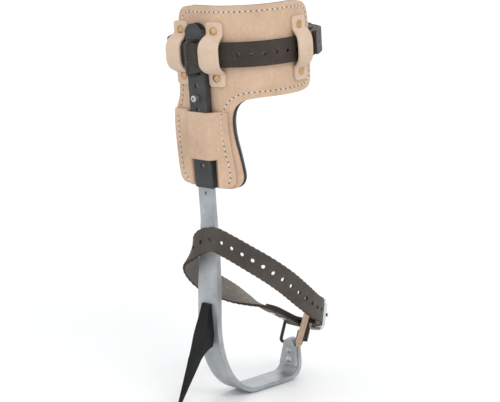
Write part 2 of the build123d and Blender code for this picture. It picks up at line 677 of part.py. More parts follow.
# Buckle strap: one short strip of leather folded round the buckle's heel bar and the ring's near leg
ring_leg = Vector(*ring_plane.from_local_coords((-RING_WIDE / 2, LEG_EYE_AT, 0)))
link = ring_leg - heel
link_drop = link.dot(bar_way)
link_way = (link - bar_way * link_drop).normalized()
link_run = link.dot(link_way)
link_side = bar_way.cross(link_way)
link_plan = Plane(origin=heel, x_dir=link_way, z_dir=bar_way)
link_view = Plane(origin=heel, x_dir=link_way, z_dir=-link_side)
rivet_run = link_run / 2 - 1
link_seats = [Plane(origin=heel + link_way * rivet_run + bar_way * link_drop / 2, z_dir=link_side)]
with BuildPart() as buckle_strap:
    with BuildSketch(link_plan.offset(-60)):
        Circle(HEEL_EYE_R + LINK_T)
        with Locations((link_run, 0)):
            Circle(LEG_EYE_R + LINK_T)
        with BuildLine():
            Polyline(
                (0, HEEL_EYE_R + LINK_T),
                (rivet_run - 4, LINK_T + 0.15),
                (rivet_run + 4, LINK_T + 0.15),
                (link_run, LEG_EYE_R + LINK_T),
                (link_run, -LEG_EYE_R - LINK_T),
                (rivet_run + 4, -LINK_T - 0.15),
                (rivet_run - 4, -LINK_T - 0.15),
                (0, -HEEL_EYE_R - LINK_T),
                close=True,
            )
        make_face()
        Circle(HEEL_EYE_R, mode=Mode.SUBTRACT)
        with Locations((link_run, 0)):
            Circle(LEG_EYE_R, mode=Mode.SUBTRACT)
    extrude(amount=120)
    with BuildSketch(link_view):
        with BuildLine():
            Polyline(
                (-10, HEEL_EYE_TALL),
                (5, HEEL_EYE_TALL),
                (link_run - LEG_EYE_R - LINK_T, link_drop + LEG_EYE_TALL),
                (link_run + 20, link_drop + LEG_EYE_TALL),
                (link_run + 20, link_drop - LEG_EYE_TALL),
                (link_run - LEG_EYE_R - LINK_T, link_drop - LEG_EYE_TALL),
                (5, -HEEL_EYE_TALL),
                (-10, -HEEL_EYE_TALL),
                close=True,
            )
        make_face()
    extrude(amount=30, both=True, mode=Mode.INTERSECT)
    with BuildSketch(foot_buckle.offset(-10)):
        Rectangle(14, 5)
    extrude(amount=20, mode=Mode.SUBTRACT)
    for seat in link_seats:
        with BuildSketch(seat):
            Circle(STRAP_RIVET_R + 0.05)
        extrude(amount=6, both=True, mode=Mode.SUBTRACT)
finish(buckle_strap.part, "buckle_strap")
strap_rivets("buckle_strap_rivet", link_seats, 2 * LINK_T + 0.9)

guard_up = Vector(0.176, -0.192, 0.966).normalized()
guard_way = (Vector(0.737, 0.676, 0) - guard_up * Vector(0.737, 0.676, 0).dot(guard_up)).normalized()
guard_place = Plane(origin=(45.5, -41.0, 72.0), x_dir=guard_way, z_dir=guard_way.cross(guard_up))
with BuildPart() as strap_guard:
    for start in (0.05, -GUARD_T - 0.05):
        with BuildSketch(guard_place.offset(start)):
            RectangleRounded(GUARD_WIDE, GUARD_TALL, 5)
        extrude(amount=GUARD_T)
finish(strap_guard.part, "strap_guard")

# Calf strap: round the leg over the pad, under the keepers and the wire loop, buckled behind
CALF_R = PAD_R + 0.65 + STRAP_T / 2
calf_centre = Vector(FACE_X + PAD_R, PAD_TURN_Y)


def round_calf(angle, radius):
    """Point of the sleeve's cross plane at an angle round the leg, 180 at the shank and 270 at the toes."""
    return calf_centre + Vector(radius, 0).rotate(Axis.Z, angle)


def strip_outline(points, thickness):
    """Closed outline of a strip of even thickness that follows a centre line, mitred at its points."""
    sides = [[], []]
    last = len(points) - 1
    for i, point in enumerate(points):
        before = (point - points[max(i - 1, 0)]).normalized() if i else (points[1] - point).normalized()
        after = (points[min(i + 1, last)] - point).normalized() if i < last else before
        mitre = (before + after).normalized()
        half = thickness / 2 / mitre.dot(before)
        for side, sign in zip(sides, (1, -1)):
            side.append((point.X - mitre.Y * half * sign, point.Y + mitre.X * half * sign))
    return sides[0] + sides[1][::-1]


calf_fold = WIRE_R + 0.3 + STRAP_T / 2
heel_x = calf_centre.X + CALF_R + calf_fold - 0.8
heel_y = PAD_TURN_Y - BUCKLE_LONG / 2
calf_heel = foot + lean_up * STRAP_H + lean_out * heel_x + Vector(0, heel_y, 0)
calf_buckle = Plane(origin=calf_heel, x_dir=(0, 1, 0), z_dir=lean_out)
buckle("calf_buckle", calf_buckle)
over_sleeve = SLEEVE_T / 2 + 0.3 + STRAP_T / 2
calf_line = [round_calf(angle, CALF_R) for angle in range(320, 346, 6)]
for turn in range(180, -31, -30):
    calf_line += [Vector(heel_x, heel_y) + Vector(calf_fold, 0).rotate(Axis.Z, turn)]
calf_line += [round_calf(angle, CALF_R + STRAP_T + 0.3) for angle in range(343, 317, -5)]
calf_line += [round_calf(309, CALF_R + 0.8)]
calf_line += [round_calf(angle, CALF_R) for angle in range(302, 195, -9)]
calf_line += [
    Vector(-over_sleeve, -12.9),
    Vector(-over_sleeve, 12.9),
    Vector(-0.8, 25),
    Vector(1.2, 30),
    Vector(3.6, 38),
    Vector(13, 53),
    Vector(34, 66),
    Vector(62, 71),
    Vector(92, 66),
    Vector(115, 51),
    Vector(127, 30),
    Vector(heel_x - 6.2, 13),
    Vector(heel_x - ROLLER_R - 0.35 - STRAP_T / 2, heel_y + BUCKLE_LONG),
    Vector(heel_x - 3.0, heel_y + BUCKLE_LONG - 7),
    Vector(heel_x + 7.9, heel_y + 3.5),
    Vector(heel_x + 8.4, heel_y - 5),
]
calf_line += [round_calf(angle, CALF_R + 2 * STRAP_T + 1.8) for angle in range(341, 320, -5)]
calf_line += [round_calf(311, CALF_R + STRAP_T + 1.7), round_calf(296, CALF_R + STRAP_T + 0.6)]
calf_seats = []
for angle in (326, 335):
    way = Vector(1, 0).rotate(Axis.Z, angle)
    spot = calf_centre + way * (CALF_R + STRAP_T / 2 + 0.15)
    origin = foot + lean_up * STRAP_H + lean_out * spot.X + Vector(0, spot.Y, 0)
    calf_seats.append(Plane(origin=origin, x_dir=lean_up, z_dir=lean_out * way.X + Vector(0, way.Y, 0)))
with BuildPart() as calf_strap:
    with BuildSketch(across(STRAP_H - STRAP_W / 2)):
        with BuildLine():
            Polyline(*strip_outline(calf_line, STRAP_T), close=True)
        make_face()
    extrude(amount=STRAP_W)
    with BuildSketch(calf_buckle.offset(-8)):
        with Locations((BUCKLE_LONG / 2 + 1, 0)):
            Rectangle(BUCKLE_LONG - 2, 4.6)
        Rectangle(9, 4.6)
    extrude(amount=14, mode=Mode.SUBTRACT)
    for seat in calf_seats:
        with BuildSketch(seat):
            Circle(STRAP_RIVET_R + 0.05)
        extrude(amount=4.2, both=True, mode=Mode.SUBTRACT)
finish(calf_strap.part, "calf_strap")
strap_rivets("calf_strap_rivets", calf_seats, 2 * STRAP_T + 0.9)
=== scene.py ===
"""Tree climber for one leg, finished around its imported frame: leather pad, pocket, keepers and straps with
punched holes and saddle stitching, and the surface of every steel, brass and nickel piece."""
import json

import bpy
import numpy as np
from bpy.props import FloatProperty, FloatVectorProperty, IntProperty, PointerProperty
from mathutils import Matrix, Vector


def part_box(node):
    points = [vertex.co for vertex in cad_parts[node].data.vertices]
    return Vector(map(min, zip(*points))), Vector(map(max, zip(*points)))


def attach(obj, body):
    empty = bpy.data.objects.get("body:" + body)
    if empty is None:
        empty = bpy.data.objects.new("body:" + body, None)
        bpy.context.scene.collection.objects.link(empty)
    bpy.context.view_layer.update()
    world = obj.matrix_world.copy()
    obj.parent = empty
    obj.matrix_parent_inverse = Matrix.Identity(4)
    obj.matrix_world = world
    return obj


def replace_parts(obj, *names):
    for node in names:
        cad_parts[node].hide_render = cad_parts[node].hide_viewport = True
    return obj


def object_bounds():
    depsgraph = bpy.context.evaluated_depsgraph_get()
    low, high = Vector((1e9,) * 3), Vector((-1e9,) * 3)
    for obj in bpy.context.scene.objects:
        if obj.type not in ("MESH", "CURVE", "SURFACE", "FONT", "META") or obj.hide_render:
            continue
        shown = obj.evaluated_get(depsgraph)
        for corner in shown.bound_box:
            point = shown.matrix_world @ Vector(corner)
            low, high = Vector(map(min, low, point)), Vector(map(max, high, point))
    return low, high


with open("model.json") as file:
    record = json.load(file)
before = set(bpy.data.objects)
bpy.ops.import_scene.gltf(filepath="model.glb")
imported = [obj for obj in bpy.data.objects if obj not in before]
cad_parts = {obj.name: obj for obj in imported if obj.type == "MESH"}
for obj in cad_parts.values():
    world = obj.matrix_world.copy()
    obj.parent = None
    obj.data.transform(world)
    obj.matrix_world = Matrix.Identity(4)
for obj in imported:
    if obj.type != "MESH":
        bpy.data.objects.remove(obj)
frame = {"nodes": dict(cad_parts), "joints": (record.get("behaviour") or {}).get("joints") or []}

CAD_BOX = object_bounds()

bl_info = {
    "name": "Tree climber finish",
    "version": (1, 0, 0),
    "blender": (4, 5, 0),
    "location": "View3D > Sidebar > Climber",
    "description": "Leather, straps, stitching and metal finishes of a tree climber",
    "category": "Object",
}

MM = 0.001
JOINTS = {joint["name"]: joint for joint in frame["joints"]}

# The sleeve's own directions: up it, out of its face towards the leg, and its lower end
UP = np.array(JOINTS["sleeve_slide"]["axis"])
OUT = np.array([UP[2], 0.0, -UP[0]])
SLEEVE_HALF = 4.2
SLEEVE_LOW, SLEEVE_HIGH = (np.array(corner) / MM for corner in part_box("sleeve"))
FOOT = np.array([SLEEVE_HIGH[0] - SLEEVE_HALF * OUT[0], 0.0, SLEEVE_LOW[2] + SLEEVE_HALF * OUT[2]])

# Calf pad, in millimetres: run is measured round its grain face, height up the sleeve
FACE_X = 4.5
PAD_R = 64.0
TURN_RUN = 11.0
LEATHER_T = 3.5
FELT_T = 4.5
POCKET_T = 2.6
LAYER_GAP = 0.15
STRAP_HEIGHT = 140.0
CALF_T = 3.4
FOOT_T = 3.2
HOLE_PITCH = 12.7
STRAP_HALF = 12.7
CELL = HOLE_PITCH / 12


# ------------------------------------------------------------------ curves and surfaces
def smooth(points, count):
    """Catmull-Rom curve through the points: each span is the cubic whose end slopes are half the
    difference of the neighbouring points. Returns count points, evenly spaced in the parameter."""
    points = np.asarray(points, float)
    padded = np.vstack([2 * points[0] - points[1], points, 2 * points[-1] - points[-2]])
    where = np.linspace(0, len(points) - 1, count)
    span = np.minimum(where.astype(int), len(points) - 2)
    t = (where - span)[:, None]
    a, b, c, d = (padded[span + k] for k in range(4))
    return 0.5 * (2 * b + (c - a) * t + (2 * a - 5 * b + 4 * c - d) * t**2 + (3 * b - a - 3 * c + d) * t**3)


def lengths(points):
    """Distance along a line of points from its start to each of them."""
    return np.concatenate([[0], np.cumsum(np.linalg.norm(np.diff(points, axis=0), axis=1))])


def unit(vectors):
    """The same directions at length one."""
    return vectors / np.maximum(np.linalg.norm(vectors, axis=-1, keepdims=True), 1e-9)


def at(where, along, values):
    """Values of a line of vectors at distances along it, straight between its points."""
    return np.stack([np.interp(where, along, values[:, k]) for k in range(values.shape[1])], axis=-1)


def on_sleeve(x, y, height):
    """Row-frame point of sleeve coordinates: x out of the sleeve's face, y across it, height up it."""
    return FOOT + x[..., None] * OUT + y[..., None] * np.array([0, 1.0, 0]) + height[..., None] * UP


def on_pad(run, height, depth):
    """Point a depth behind the pad's grain face: a plane up to the turn, then a circle about the leg."""
    turn = np.maximum(run - TURN_RUN, 0) / PAD_R
    radius = PAD_R - depth
    x = np.where(run <= TURN_RUN, FACE_X + depth, FACE_X + PAD_R - radius * np.cos(turn))
    y = np.where(run <= TURN_RUN, -run, -TURN_RUN - radius * np.sin(turn))
    return on_sleeve(x, y, height)


def pad_normal(run):
    """Outward direction of the pad's grain face at a run round it."""
    turn = np.maximum(run - TURN_RUN, 0) / PAD_R
    return -np.cos(turn)[..., None] * OUT - np.sin(turn)[..., None] * np.array([0, 1.0, 0])


def make_mesh(name, points, faces, uv=None, slots=None, smooth_shade=True):
    """Mesh object from arrays: points in millimetres, faces as rows of indices, uv one pair to a point."""
    used = np.unique(faces)
    order = np.full(len(points), -1)
    order[used] = np.arange(len(used))
    mesh = bpy.data.meshes.new(name)
    mesh.from_pydata((points[used] * MM).tolist(), [], order[faces].tolist())
    if uv is not None:
        layer = mesh.uv_layers.new(name="UVMap")
        corner = np.zeros(len(mesh.loops), np.int32)
        mesh.loops.foreach_get("vertex_index", corner)
        layer.data.foreach_set("uv", (uv[used][corner] * MM).astype(np.float32).ravel())
    if slots is not None:
        mesh.polygons.foreach_set("material_index", slots.astype(np.int32))
    mesh.polygons.foreach_set("use_smooth", np.full(len(mesh.polygons), smooth_shade))
    mesh.update()
    piece = bpy.data.objects.new(name, mesh)
    bpy.context.scene.collection.objects.link(piece)
    return piece


def grid_faces(rows, columns, keep=None, flip=False):
    """Quads of a grid of points, as index rows, without the cells that keep leaves out."""
    index = np.arange(rows * columns).reshape(rows, columns)
    quads = np.stack([index[:-1, :-1], index[1:, :-1], index[1:, 1:], index[:-1, 1:]], axis=-1)
    if flip:
        quads = quads[..., ::-1]
    quads = quads.reshape(-1, 4)
    return quads if keep is None else quads[keep.ravel()]


def panel(name, points, uv, thickness, keep=None, flip=False, bevel=0.6, offset=-1.0, back=0, rim=0):
    """Sheet of leather: its grain face is the grid of points, Solidify gives it thickness behind that face
    and Bevel rounds its cut edges. back and rim are the material slots of the flesh side and the edges."""
    rows, columns = points.shape[:2]
    piece = make_mesh(
        name, points.reshape(-1, 3), grid_faces(rows, columns, keep, flip), uv.reshape(-1, 2)
    )
    solid = piece.modifiers.new("Thickness", "SOLIDIFY")
    solid.thickness = thickness * MM
    solid.offset = offset
    solid.material_offset = back
    solid.material_offset_rim = rim
    edge = piece.modifiers.new("Edge", "BEVEL")
    edge.width = bevel * MM
    edge.segments = 2
    edge.limit_method = "ANGLE"
    edge.angle_limit = 0.9
    return piece


def punch(t, w, holes, radius):
    """Opens round holes in a strap's grid: square rings of cells about each hole are drawn into circles,
    fading out five cells away, and the cells inside the second ring are left out."""
    keep = np.ones((t.shape[0] - 1, t.shape[1] - 1), bool)
    new_t, new_w = t.copy(), w.copy()
    for hole in holes:
        away, side = t - hole, w
        ring = np.maximum(abs(away), abs(side)) / CELL
        pull = np.clip((5 - ring) / 3, 0, 1) * (ring > 1.9)
        scale = radius * ring / 2 / np.maximum(np.hypot(away, side), 1e-6)
        new_t += away * (scale - 1) * pull
        new_w += side * (scale - 1) * pull
        mid_t = (away[:-1, :-1] + away[1:, 1:]) / 2
        mid_w = (side[:-1, :-1] + side[1:, 1:]) / 2
        keep &= np.maximum(abs(mid_t), abs(mid_w)) > 2 * CELL
    return new_t, new_w, keep


def strap(name, centre, normal, thickness, **options):
    """Flat strap along a dense centre line: a grid of distance along it and distance across it, the width
    direction square to the line and its normal. Options: wide, the width directions; half, half the width
    at a distance; holes, the distances of round holes; slots, (start, end, half width) of long ones."""
    along = lengths(centre)
    forward = unit(np.gradient(centre, axis=0))
    wide = options.get("wide")
    if wide is None:
        wide = unit(np.cross(forward, normal))
    shift = options.get("shift", 0.0)
    count = int((along[-1] - shift) / CELL)
    lines = np.concatenate([[0.0], shift + CELL * np.arange(1, count), [along[-1]]])
    across = CELL * np.arange(-12, 13)
    t, w = np.meshgrid(lines, across, indexing="ij")
    t, w, keep = punch(t, w, options.get("holes", ()), options.get("hole_r", 2.3))
    mid_t = (t[:-1, :-1] + t[1:, 1:]) / 2
    mid_w = (w[:-1, :-1] + w[1:, 1:]) / 2
    for start, end, reach in options.get("slots", ()):
        keep &= ~((mid_t > start) & (mid_t < end) & (abs(mid_w) < reach))
    half = options.get("half", lambda d: np.full_like(d, STRAP_HALF))(t)
    w = w * half / STRAP_HALF
    points = at(t, along, centre) + at(t, along, wide) * w[..., None]
    points += at(t, along, unit(normal)) * thickness / 2
    uv = np.stack([t, w], axis=-1)
    return panel(name, points, uv, thickness, keep, True, 0.5, -1.0,
                 options.get("back", 0), options.get("rim", 0))


def rounded_ends(total, half, corner, scallop=0.0):
    """Half width of a strap along its length: full, with quarter-circle corners at both ends, and a
    fine scallop of the given depth every half hole pitch."""
    def at_distance(d):
        from_end = np.clip(np.minimum(d, total - d), 0, corner)
        drop = corner - np.sqrt(np.maximum(corner**2 - (corner - from_end) ** 2, 0))
        return half - drop + scallop * np.cos(4 * np.pi * d / HOLE_PITCH)
    return at_distance


def beads(name, centres, ways, normals, length, radius, sink=0.35):
    """Stitches: each is an ellipsoid, 8 by 5 faces, long along its way and sunk into the surface.
    A point is centre + way cos(a) length/2 + (normal cos(b) + side sin(b)) sin(a) radius."""
    a = np.linspace(0.12, np.pi - 0.12, 6)[:, None]
    b = np.linspace(0, 2 * np.pi, 8, endpoint=False)[None, :]
    side = np.cross(ways, normals)
    ring = (
        ways[:, None, None] * (np.cos(a) * length / 2)[None, ..., None] * np.ones_like(b)[None, ..., None]
        + normals[:, None, None] * (np.sin(a) * np.cos(b) * radius)[None, ..., None]
        + side[:, None, None] * (np.sin(a) * np.sin(b) * radius)[None, ..., None]
    )
    points = centres[:, None, None] + ring + normals[:, None, None] * radius * (1 - sink)
    rows, columns = a.size, b.size
    index = np.arange(rows * columns).reshape(rows, columns)
    right = np.roll(index, -1, axis=1)
    quads = np.stack([index[:-1], right[:-1], right[1:], index[1:]], axis=-1).reshape(-1, 4)
    caps = np.array([index[0, [3, 2, 1, 0]], index[0, [0, 7, 4, 3]], index[0, [4, 7, 6, 5]]])
    ends = np.array([index[-1, [0, 1, 2, 3]], index[-1, [3, 4, 7, 0]], index[-1, [5, 6, 7, 4]]])
    one = np.vstack([quads, caps, ends])[:, ::-1]
    faces = (one[None] + rows * columns * np.arange(len(centres))[:, None, None]).reshape(-1, 4)
    return make_mesh(name, points.reshape(-1, 3), faces)


def discs(name, centres, normals, radius, dome):
    """Small low domes, such as the dark dots of painted shade that stand for awl holes, or rivet burrs:
    rings of a spherical cap about each normal.
    """
    a = np.linspace(0.02, np.pi / 2, 4)[:, None]
    b = np.linspace(0, 2 * np.pi, 10, endpoint=False)[None, :]
    side = unit(np.cross(normals, np.array([0.3, 0.5, 0.8])))
    other = np.cross(normals, side)
    ring = (
        normals[:, None, None] * (np.cos(a) * dome * np.ones_like(b))[None, ..., None]
        + side[:, None, None] * (np.sin(a) * np.cos(b) * radius)[None, ..., None]
        + other[:, None, None] * (np.sin(a) * np.sin(b) * radius)[None, ..., None]
    )
    points = centres[:, None, None] + ring
    index = np.arange(40).reshape(4, 10)
    right = np.roll(index, -1, axis=1)
    walls = np.stack([index[:-1], index[1:], right[1:], right[:-1]], axis=-1).reshape(-1, 4)
    top = np.array([[0, 1, 2, 3], [0, 3, 4, 5], [0, 5, 6, 7], [0, 7, 8, 9]])
    one = np.vstack([walls, top, top[:, ::-1] + 30])
    faces = (one[None] + 40 * np.arange(len(centres))[:, None, None]).reshape(-1, 4)
    return make_mesh(name, points.reshape(-1, 3), faces)


# ------------------------------------------------------------------ shader groups
def new_group(name, inputs, outputs):
    """Empty shader node group with named float or colour sockets, given as (name, kind, default)."""
    group = bpy.data.node_groups.new(name, "ShaderNodeTree")
    for socket, kind, default in inputs:
        made = group.interface.new_socket(name=socket, in_out="INPUT", socket_type=kind)
        if default is not None:
            made.default_value = default
    for socket, kind in outputs:
        group.interface.new_socket(name=socket, in_out="OUTPUT", socket_type=kind)
    return group, group.nodes.new("NodeGroupInput"), group.nodes.new("NodeGroupOutput")


def noise(tree, vector, scale, detail=4.0, rough=0.6):
    """Noise texture on a vector; its Fac output."""
    node = tree.nodes.new("ShaderNodeTexNoise")
    node.inputs["Scale"].default_value = scale
    node.inputs["Detail"].default_value = detail
    node.inputs["Roughness"].default_value = rough
    tree.links.new(vector, node.inputs["Vector"])
    return node.outputs["Fac"]


def maths(tree, kind, a, b=0.0, clamp=False):
    """Math node on sockets or numbers."""
    node = tree.nodes.new("ShaderNodeMath")
    node.operation = kind
    node.use_clamp = clamp
    for socket, value in zip(node.inputs, (a, b)):
        if isinstance(value, (int, float)):
            socket.default_value = value
        else:
            tree.links.new(value, socket)
    return node.outputs["Value"]


def ramp(tree, value, low, high):
    """Value remapped so that low gives 0 and high gives 1, clamped."""
    node = tree.nodes.new("ShaderNodeMapRange")
    node.inputs["From Min"].default_value = low
    node.inputs["From Max"].default_value = high
    tree.links.new(value, node.inputs["Value"])
    return node.outputs["Result"]


def mix(tree, factor, a, b):
    """Colour mix; a and b are sockets or colours."""
    node = tree.nodes.new("ShaderNodeMix")
    node.data_type = "RGBA"
    tree.links.new(factor, node.inputs["Factor"])
    for socket, value in zip((node.inputs["A"], node.inputs["B"]), (a, b)):
        if isinstance(value, bpy.types.NodeSocket):
            tree.links.new(value, socket)
        else:
            socket.default_value = (*value, 1.0)
    return node.outputs["Result"]


def leather_group():
    """Leather: pebbled grain height, slow mottling of colour, and fine scratches, from one vector."""
    group, source, sink = new_group(
        "Leather surface",
        [("Vector", "NodeSocketVector", None), ("Grain", "NodeSocketFloat", 900.0)],
        [("Height", "NodeSocketFloat"), ("Mottle", "NodeSocketFloat"), ("Scuffs", "NodeSocketFloat")],
    )
    vector = source.outputs["Vector"]
    cells = group.nodes.new("ShaderNodeTexVoronoi")
    cells.feature = "SMOOTH_F1"
    group.links.new(vector, cells.inputs["Vector"])
    group.links.new(source.outputs["Grain"], cells.inputs["Scale"])
    fine = noise(group, vector, 2600.0, 3.0)
    creases = noise(group, vector, 160.0, 5.0)
    height = maths(group, "ADD", maths(group, "MULTIPLY", cells.outputs["Distance"], 0.6), fine)
    height = maths(group, "ADD", height, maths(group, "MULTIPLY", creases, 0.8))
    group.links.new(height, sink.inputs["Height"])
    slow = noise(group, vector, 28.0, 5.0, 0.55)
    quick = noise(group, vector, 220.0, 3.0, 0.5)
    mottle = maths(group, "ADD", maths(group, "MULTIPLY", slow, 0.7), maths(group, "MULTIPLY", quick, 0.3))
    group.links.new(ramp(group, mottle, 0.33, 0.67), sink.inputs["Mottle"])
    stretched = group.nodes.new("ShaderNodeMapping")
    stretched.inputs["Rotation"].default_value = (0.3, 0.5, 0.6)
    stretched.inputs["Scale"].default_value = (1.0, 9.0, 1.0)
    group.links.new(vector, stretched.inputs["Vector"])
    lines = noise(group, stretched.outputs["Vector"], 90.0, 2.0)
    group.links.new(ramp(group, lines, 0.66, 0.74), sink.inputs["Scuffs"])
    return group


def metal_group():
    """Metal: orange-peel or forged height, cloudy tone, and sparse rubbed scratches, from one vector."""
    group, source, sink = new_group(
        "Metal surface",
        [("Vector", "NodeSocketVector", None), ("Pitch", "NodeSocketFloat", 500.0)],
        [("Height", "NodeSocketFloat"), ("Cloud", "NodeSocketFloat"), ("Rubs", "NodeSocketFloat")],
    )
    vector = source.outputs["Vector"]
    peel = group.nodes.new("ShaderNodeTexNoise")
    peel.inputs["Detail"].default_value = 3.0
    group.links.new(vector, peel.inputs["Vector"])
    group.links.new(source.outputs["Pitch"], peel.inputs["Scale"])
    group.links.new(peel.outputs["Fac"], sink.inputs["Height"])
    group.links.new(ramp(group, noise(group, vector, 45.0, 6.0), 0.35, 0.65), sink.inputs["Cloud"])
    drawn = group.nodes.new("ShaderNodeMapping")
    drawn.inputs["Rotation"].default_value = (0.2, 0.4, 0.1)
    drawn.inputs["Scale"].default_value = (1.0, 1.0, 12.0)
    group.links.new(vector, drawn.inputs["Vector"])
    streaks = noise(group, drawn.outputs["Vector"], 60.0, 4.0)
    specks = noise(group, vector, 420.0, 2.0)
    rubs = maths(group, "MAXIMUM", ramp(group, streaks, 0.68, 0.76), ramp(group, specks, 0.70, 0.76))
    group.links.new(rubs, sink.inputs["Rubs"])
    return group


def start_material(name, group, setting, value):
    """Material with a Principled BSDF, Object coordinates and the surface group placed in it."""
    material = bpy.data.materials.new(name)
    material.use_nodes = True
    tree = material.node_tree
    shader = tree.nodes["Principled BSDF"]
    place = tree.nodes.new("ShaderNodeTexCoord")
    surface = tree.nodes.new("ShaderNodeGroup")
    surface.node_tree = group
    surface.inputs[setting].default_value = value
    tree.links.new(place.outputs["Object"], surface.inputs["Vector"])
    return material, tree, shader, surface


def bump(tree, shader, height, distance, strength=1.0):
    """Bump node from a height into the shader's normal; distance in metres."""
    node = tree.nodes.new("ShaderNodeBump")
    node.inputs["Distance"].default_value = distance
    node.inputs["Strength"].default_value = strength
    tree.links.new(height, node.inputs["Height"])
    tree.links.new(node.outputs["Normal"], shader.inputs["Normal"])


def leather(name, group, light, dark, scuff, rough, grain=900.0, depth=0.00012, sheen=0.0):
    """Leather material: mottled between two colours, scuffed towards a third, with pebbled grain."""
    material, tree, shader, surface = start_material(name, group, "Grain", grain)
    base = mix(tree, surface.outputs["Mottle"], dark, light)
    faint = maths(tree, "MULTIPLY", surface.outputs["Scuffs"], 0.45)
    tree.links.new(mix(tree, faint, base, scuff), shader.inputs["Base Color"])
    uneven = maths(tree, "MULTIPLY", surface.outputs["Mottle"], 0.14)
    tree.links.new(maths(tree, "ADD", uneven, rough - 0.07), shader.inputs["Roughness"])
    shader.inputs["Sheen Weight"].default_value = sheen
    shader.inputs["Specular IOR Level"].default_value = 0.35
    bump(tree, shader, surface.outputs["Height"], depth)
    return material


def metal(
    name, group, light, dark, worn, rough, metallic, pitch=500.0, depth=0.00006, wear=0.5, gloss=0.5
):
    """Metal or paint: cloudy between two colours, rubbed through to a third in specks and streaks."""
    material, tree, shader, surface = start_material(name, group, "Pitch", pitch)
    base = mix(tree, surface.outputs["Cloud"], dark, light)
    rubbed = maths(tree, "MULTIPLY", surface.outputs["Rubs"], wear)
    tree.links.new(mix(tree, rubbed, base, worn), shader.inputs["Base Color"])
    uneven = maths(tree, "MULTIPLY", surface.outputs["Cloud"], 0.12)
    tree.links.new(maths(tree, "ADD", uneven, rough - 0.06), shader.inputs["Roughness"])
    shader.inputs["Metallic"].default_value = metallic
    shader.inputs["Specular IOR Level"].default_value = gloss
    bump(tree, shader, surface.outputs["Height"], depth)
    return material


MADE = {}  # materials by name, filled by the finishes operator


# ------------------------------------------------------------------ calf pad
# Left and right ends of the pad's rows, from its lower edge to its upper edge, as (run, height)
PAD_ROWS = (
    ((-26.5, -1.3), (30.0, -0.6)), ((-33.5, 1.4), (38.6, 2.6)), ((-38.3, 6.5), (42.6, 9.0)),
    ((-40.3, 18.0), (42.8, 17.0)), ((-41.3, 35.0), (39.4, 35.5)), ((-42.0, 52.0), (35.8, 52.0)),
    ((-41.8, 66.0), (34.4, 66.0)), ((-40.9, 77.0), (35.8, 78.0)), ((-38.0, 85.5), (40.8, 86.8)),
    ((-35.2, 91.5), (50.0, 92.4)), ((-34.0, 98.0), (64.0, 94.4)), ((-33.3, 105.0), (82.0, 94.8)),
    ((-32.6, 114.0), (100.0, 94.8)), ((-31.9, 122.0), (116.0, 95.0)), ((-31.2, 130.0), (130.0, 97.3)),
    ((-30.6, 138.0), (137.3, 103.5)), ((-30.0, 146.0), (140.0, 114.0)), ((-29.2, 155.0), (140.3, 130.0)),
    ((-28.5, 163.0), (140.3, 147.0)), ((-27.8, 171.0), (139.8, 162.0)), ((-26.8, 178.0), (137.3, 174.0)),
    ((-24.0, 183.8), (131.0, 182.3)), ((-19.0, 187.3), (121.0, 187.0)), ((-12.0, 188.5), (108.0, 188.5)),
)
# Saddle stitching: up the pocket's right side and round the pad, and up the pocket's left side
RIGHT_STITCHES = (
    (17.5, 5.0), (26.6, 5.8), (30.2, 12.0), (29.4, 24.0), (26.9, 36.0), (24.6, 50.0), (23.6, 66.0),
    (25.6, 80.0), (31.0, 89.5), (40.0, 96.5), (54.0, 100.2), (80.0, 100.8), (108.0, 100.8),
    (122.0, 102.0), (131.0, 107.5), (134.2, 117.0), (134.5, 145.0), (133.8, 166.0), (128.5, 178.0),
    (116.0, 182.5), (90.0, 182.9), (40.0, 182.9), (0.0, 182.8), (-12.0, 182.4), (-19.5, 179.0),
    (-22.4, 170.0), (-24.4, 150.0), (-26.8, 120.0), (-29.6, 96.0), (-33.0, 84.5),
)
LEFT_STITCHES = ((-18.0, 4.6), (-27.0, 5.6), (-32.6, 12.0), (-35.2, 28.0), (-36.4, 52.0), (-35.6, 75.0))
POCKET_TOP = 80.7
POCKET_NOTCH = 31.0
# Edges of the pocket, as (height, run)
POCKET_LEFT = (
    (0.6, -29.0), (2.0, -34.0), (6.5, -38.3), (18.0, -40.3), (35.0, -41.3), (52.0, -42.0),
    (66.0, -41.8), (80.7, -40.3),
)
POCKET_RIGHT = (
    (0.6, 27.0), (2.2, 32.0), (6.0, 35.6), (13.0, 36.8), (26.0, 35.0), (40.0, 33.0), (60.0, 31.2),
    (80.7, 31.2),
)
NOTCH_HALF = 19.5


def ruled(pairs, rows, columns):
    """Surface ruled between two smooth edges: row by row, a straight blend of its left and right end."""
    ends = np.array(pairs)
    left, right = smooth(ends[:, 0], rows), smooth(ends[:, 1], rows)
    share = np.linspace(0, 1, columns)[None, :, None]
    return left[:, None] * (1 - share) + right[:, None] * share


def pad_sheet(name, spread, depth, thickness, bevel, rim):
    """One layer of the pad: its rows, spread outwards at their ends, bent round the leg at a depth."""
    pairs = [((l[0] - spread[0], l[1]), (r[0] + spread[1], r[1])) for l, r in PAD_ROWS]
    flat = ruled(pairs, 150, 120)
    points = on_pad(flat[..., 0], flat[..., 1], depth)
    return panel(name, points, flat, thickness, None, True, bevel, -1.0, 0, rim)


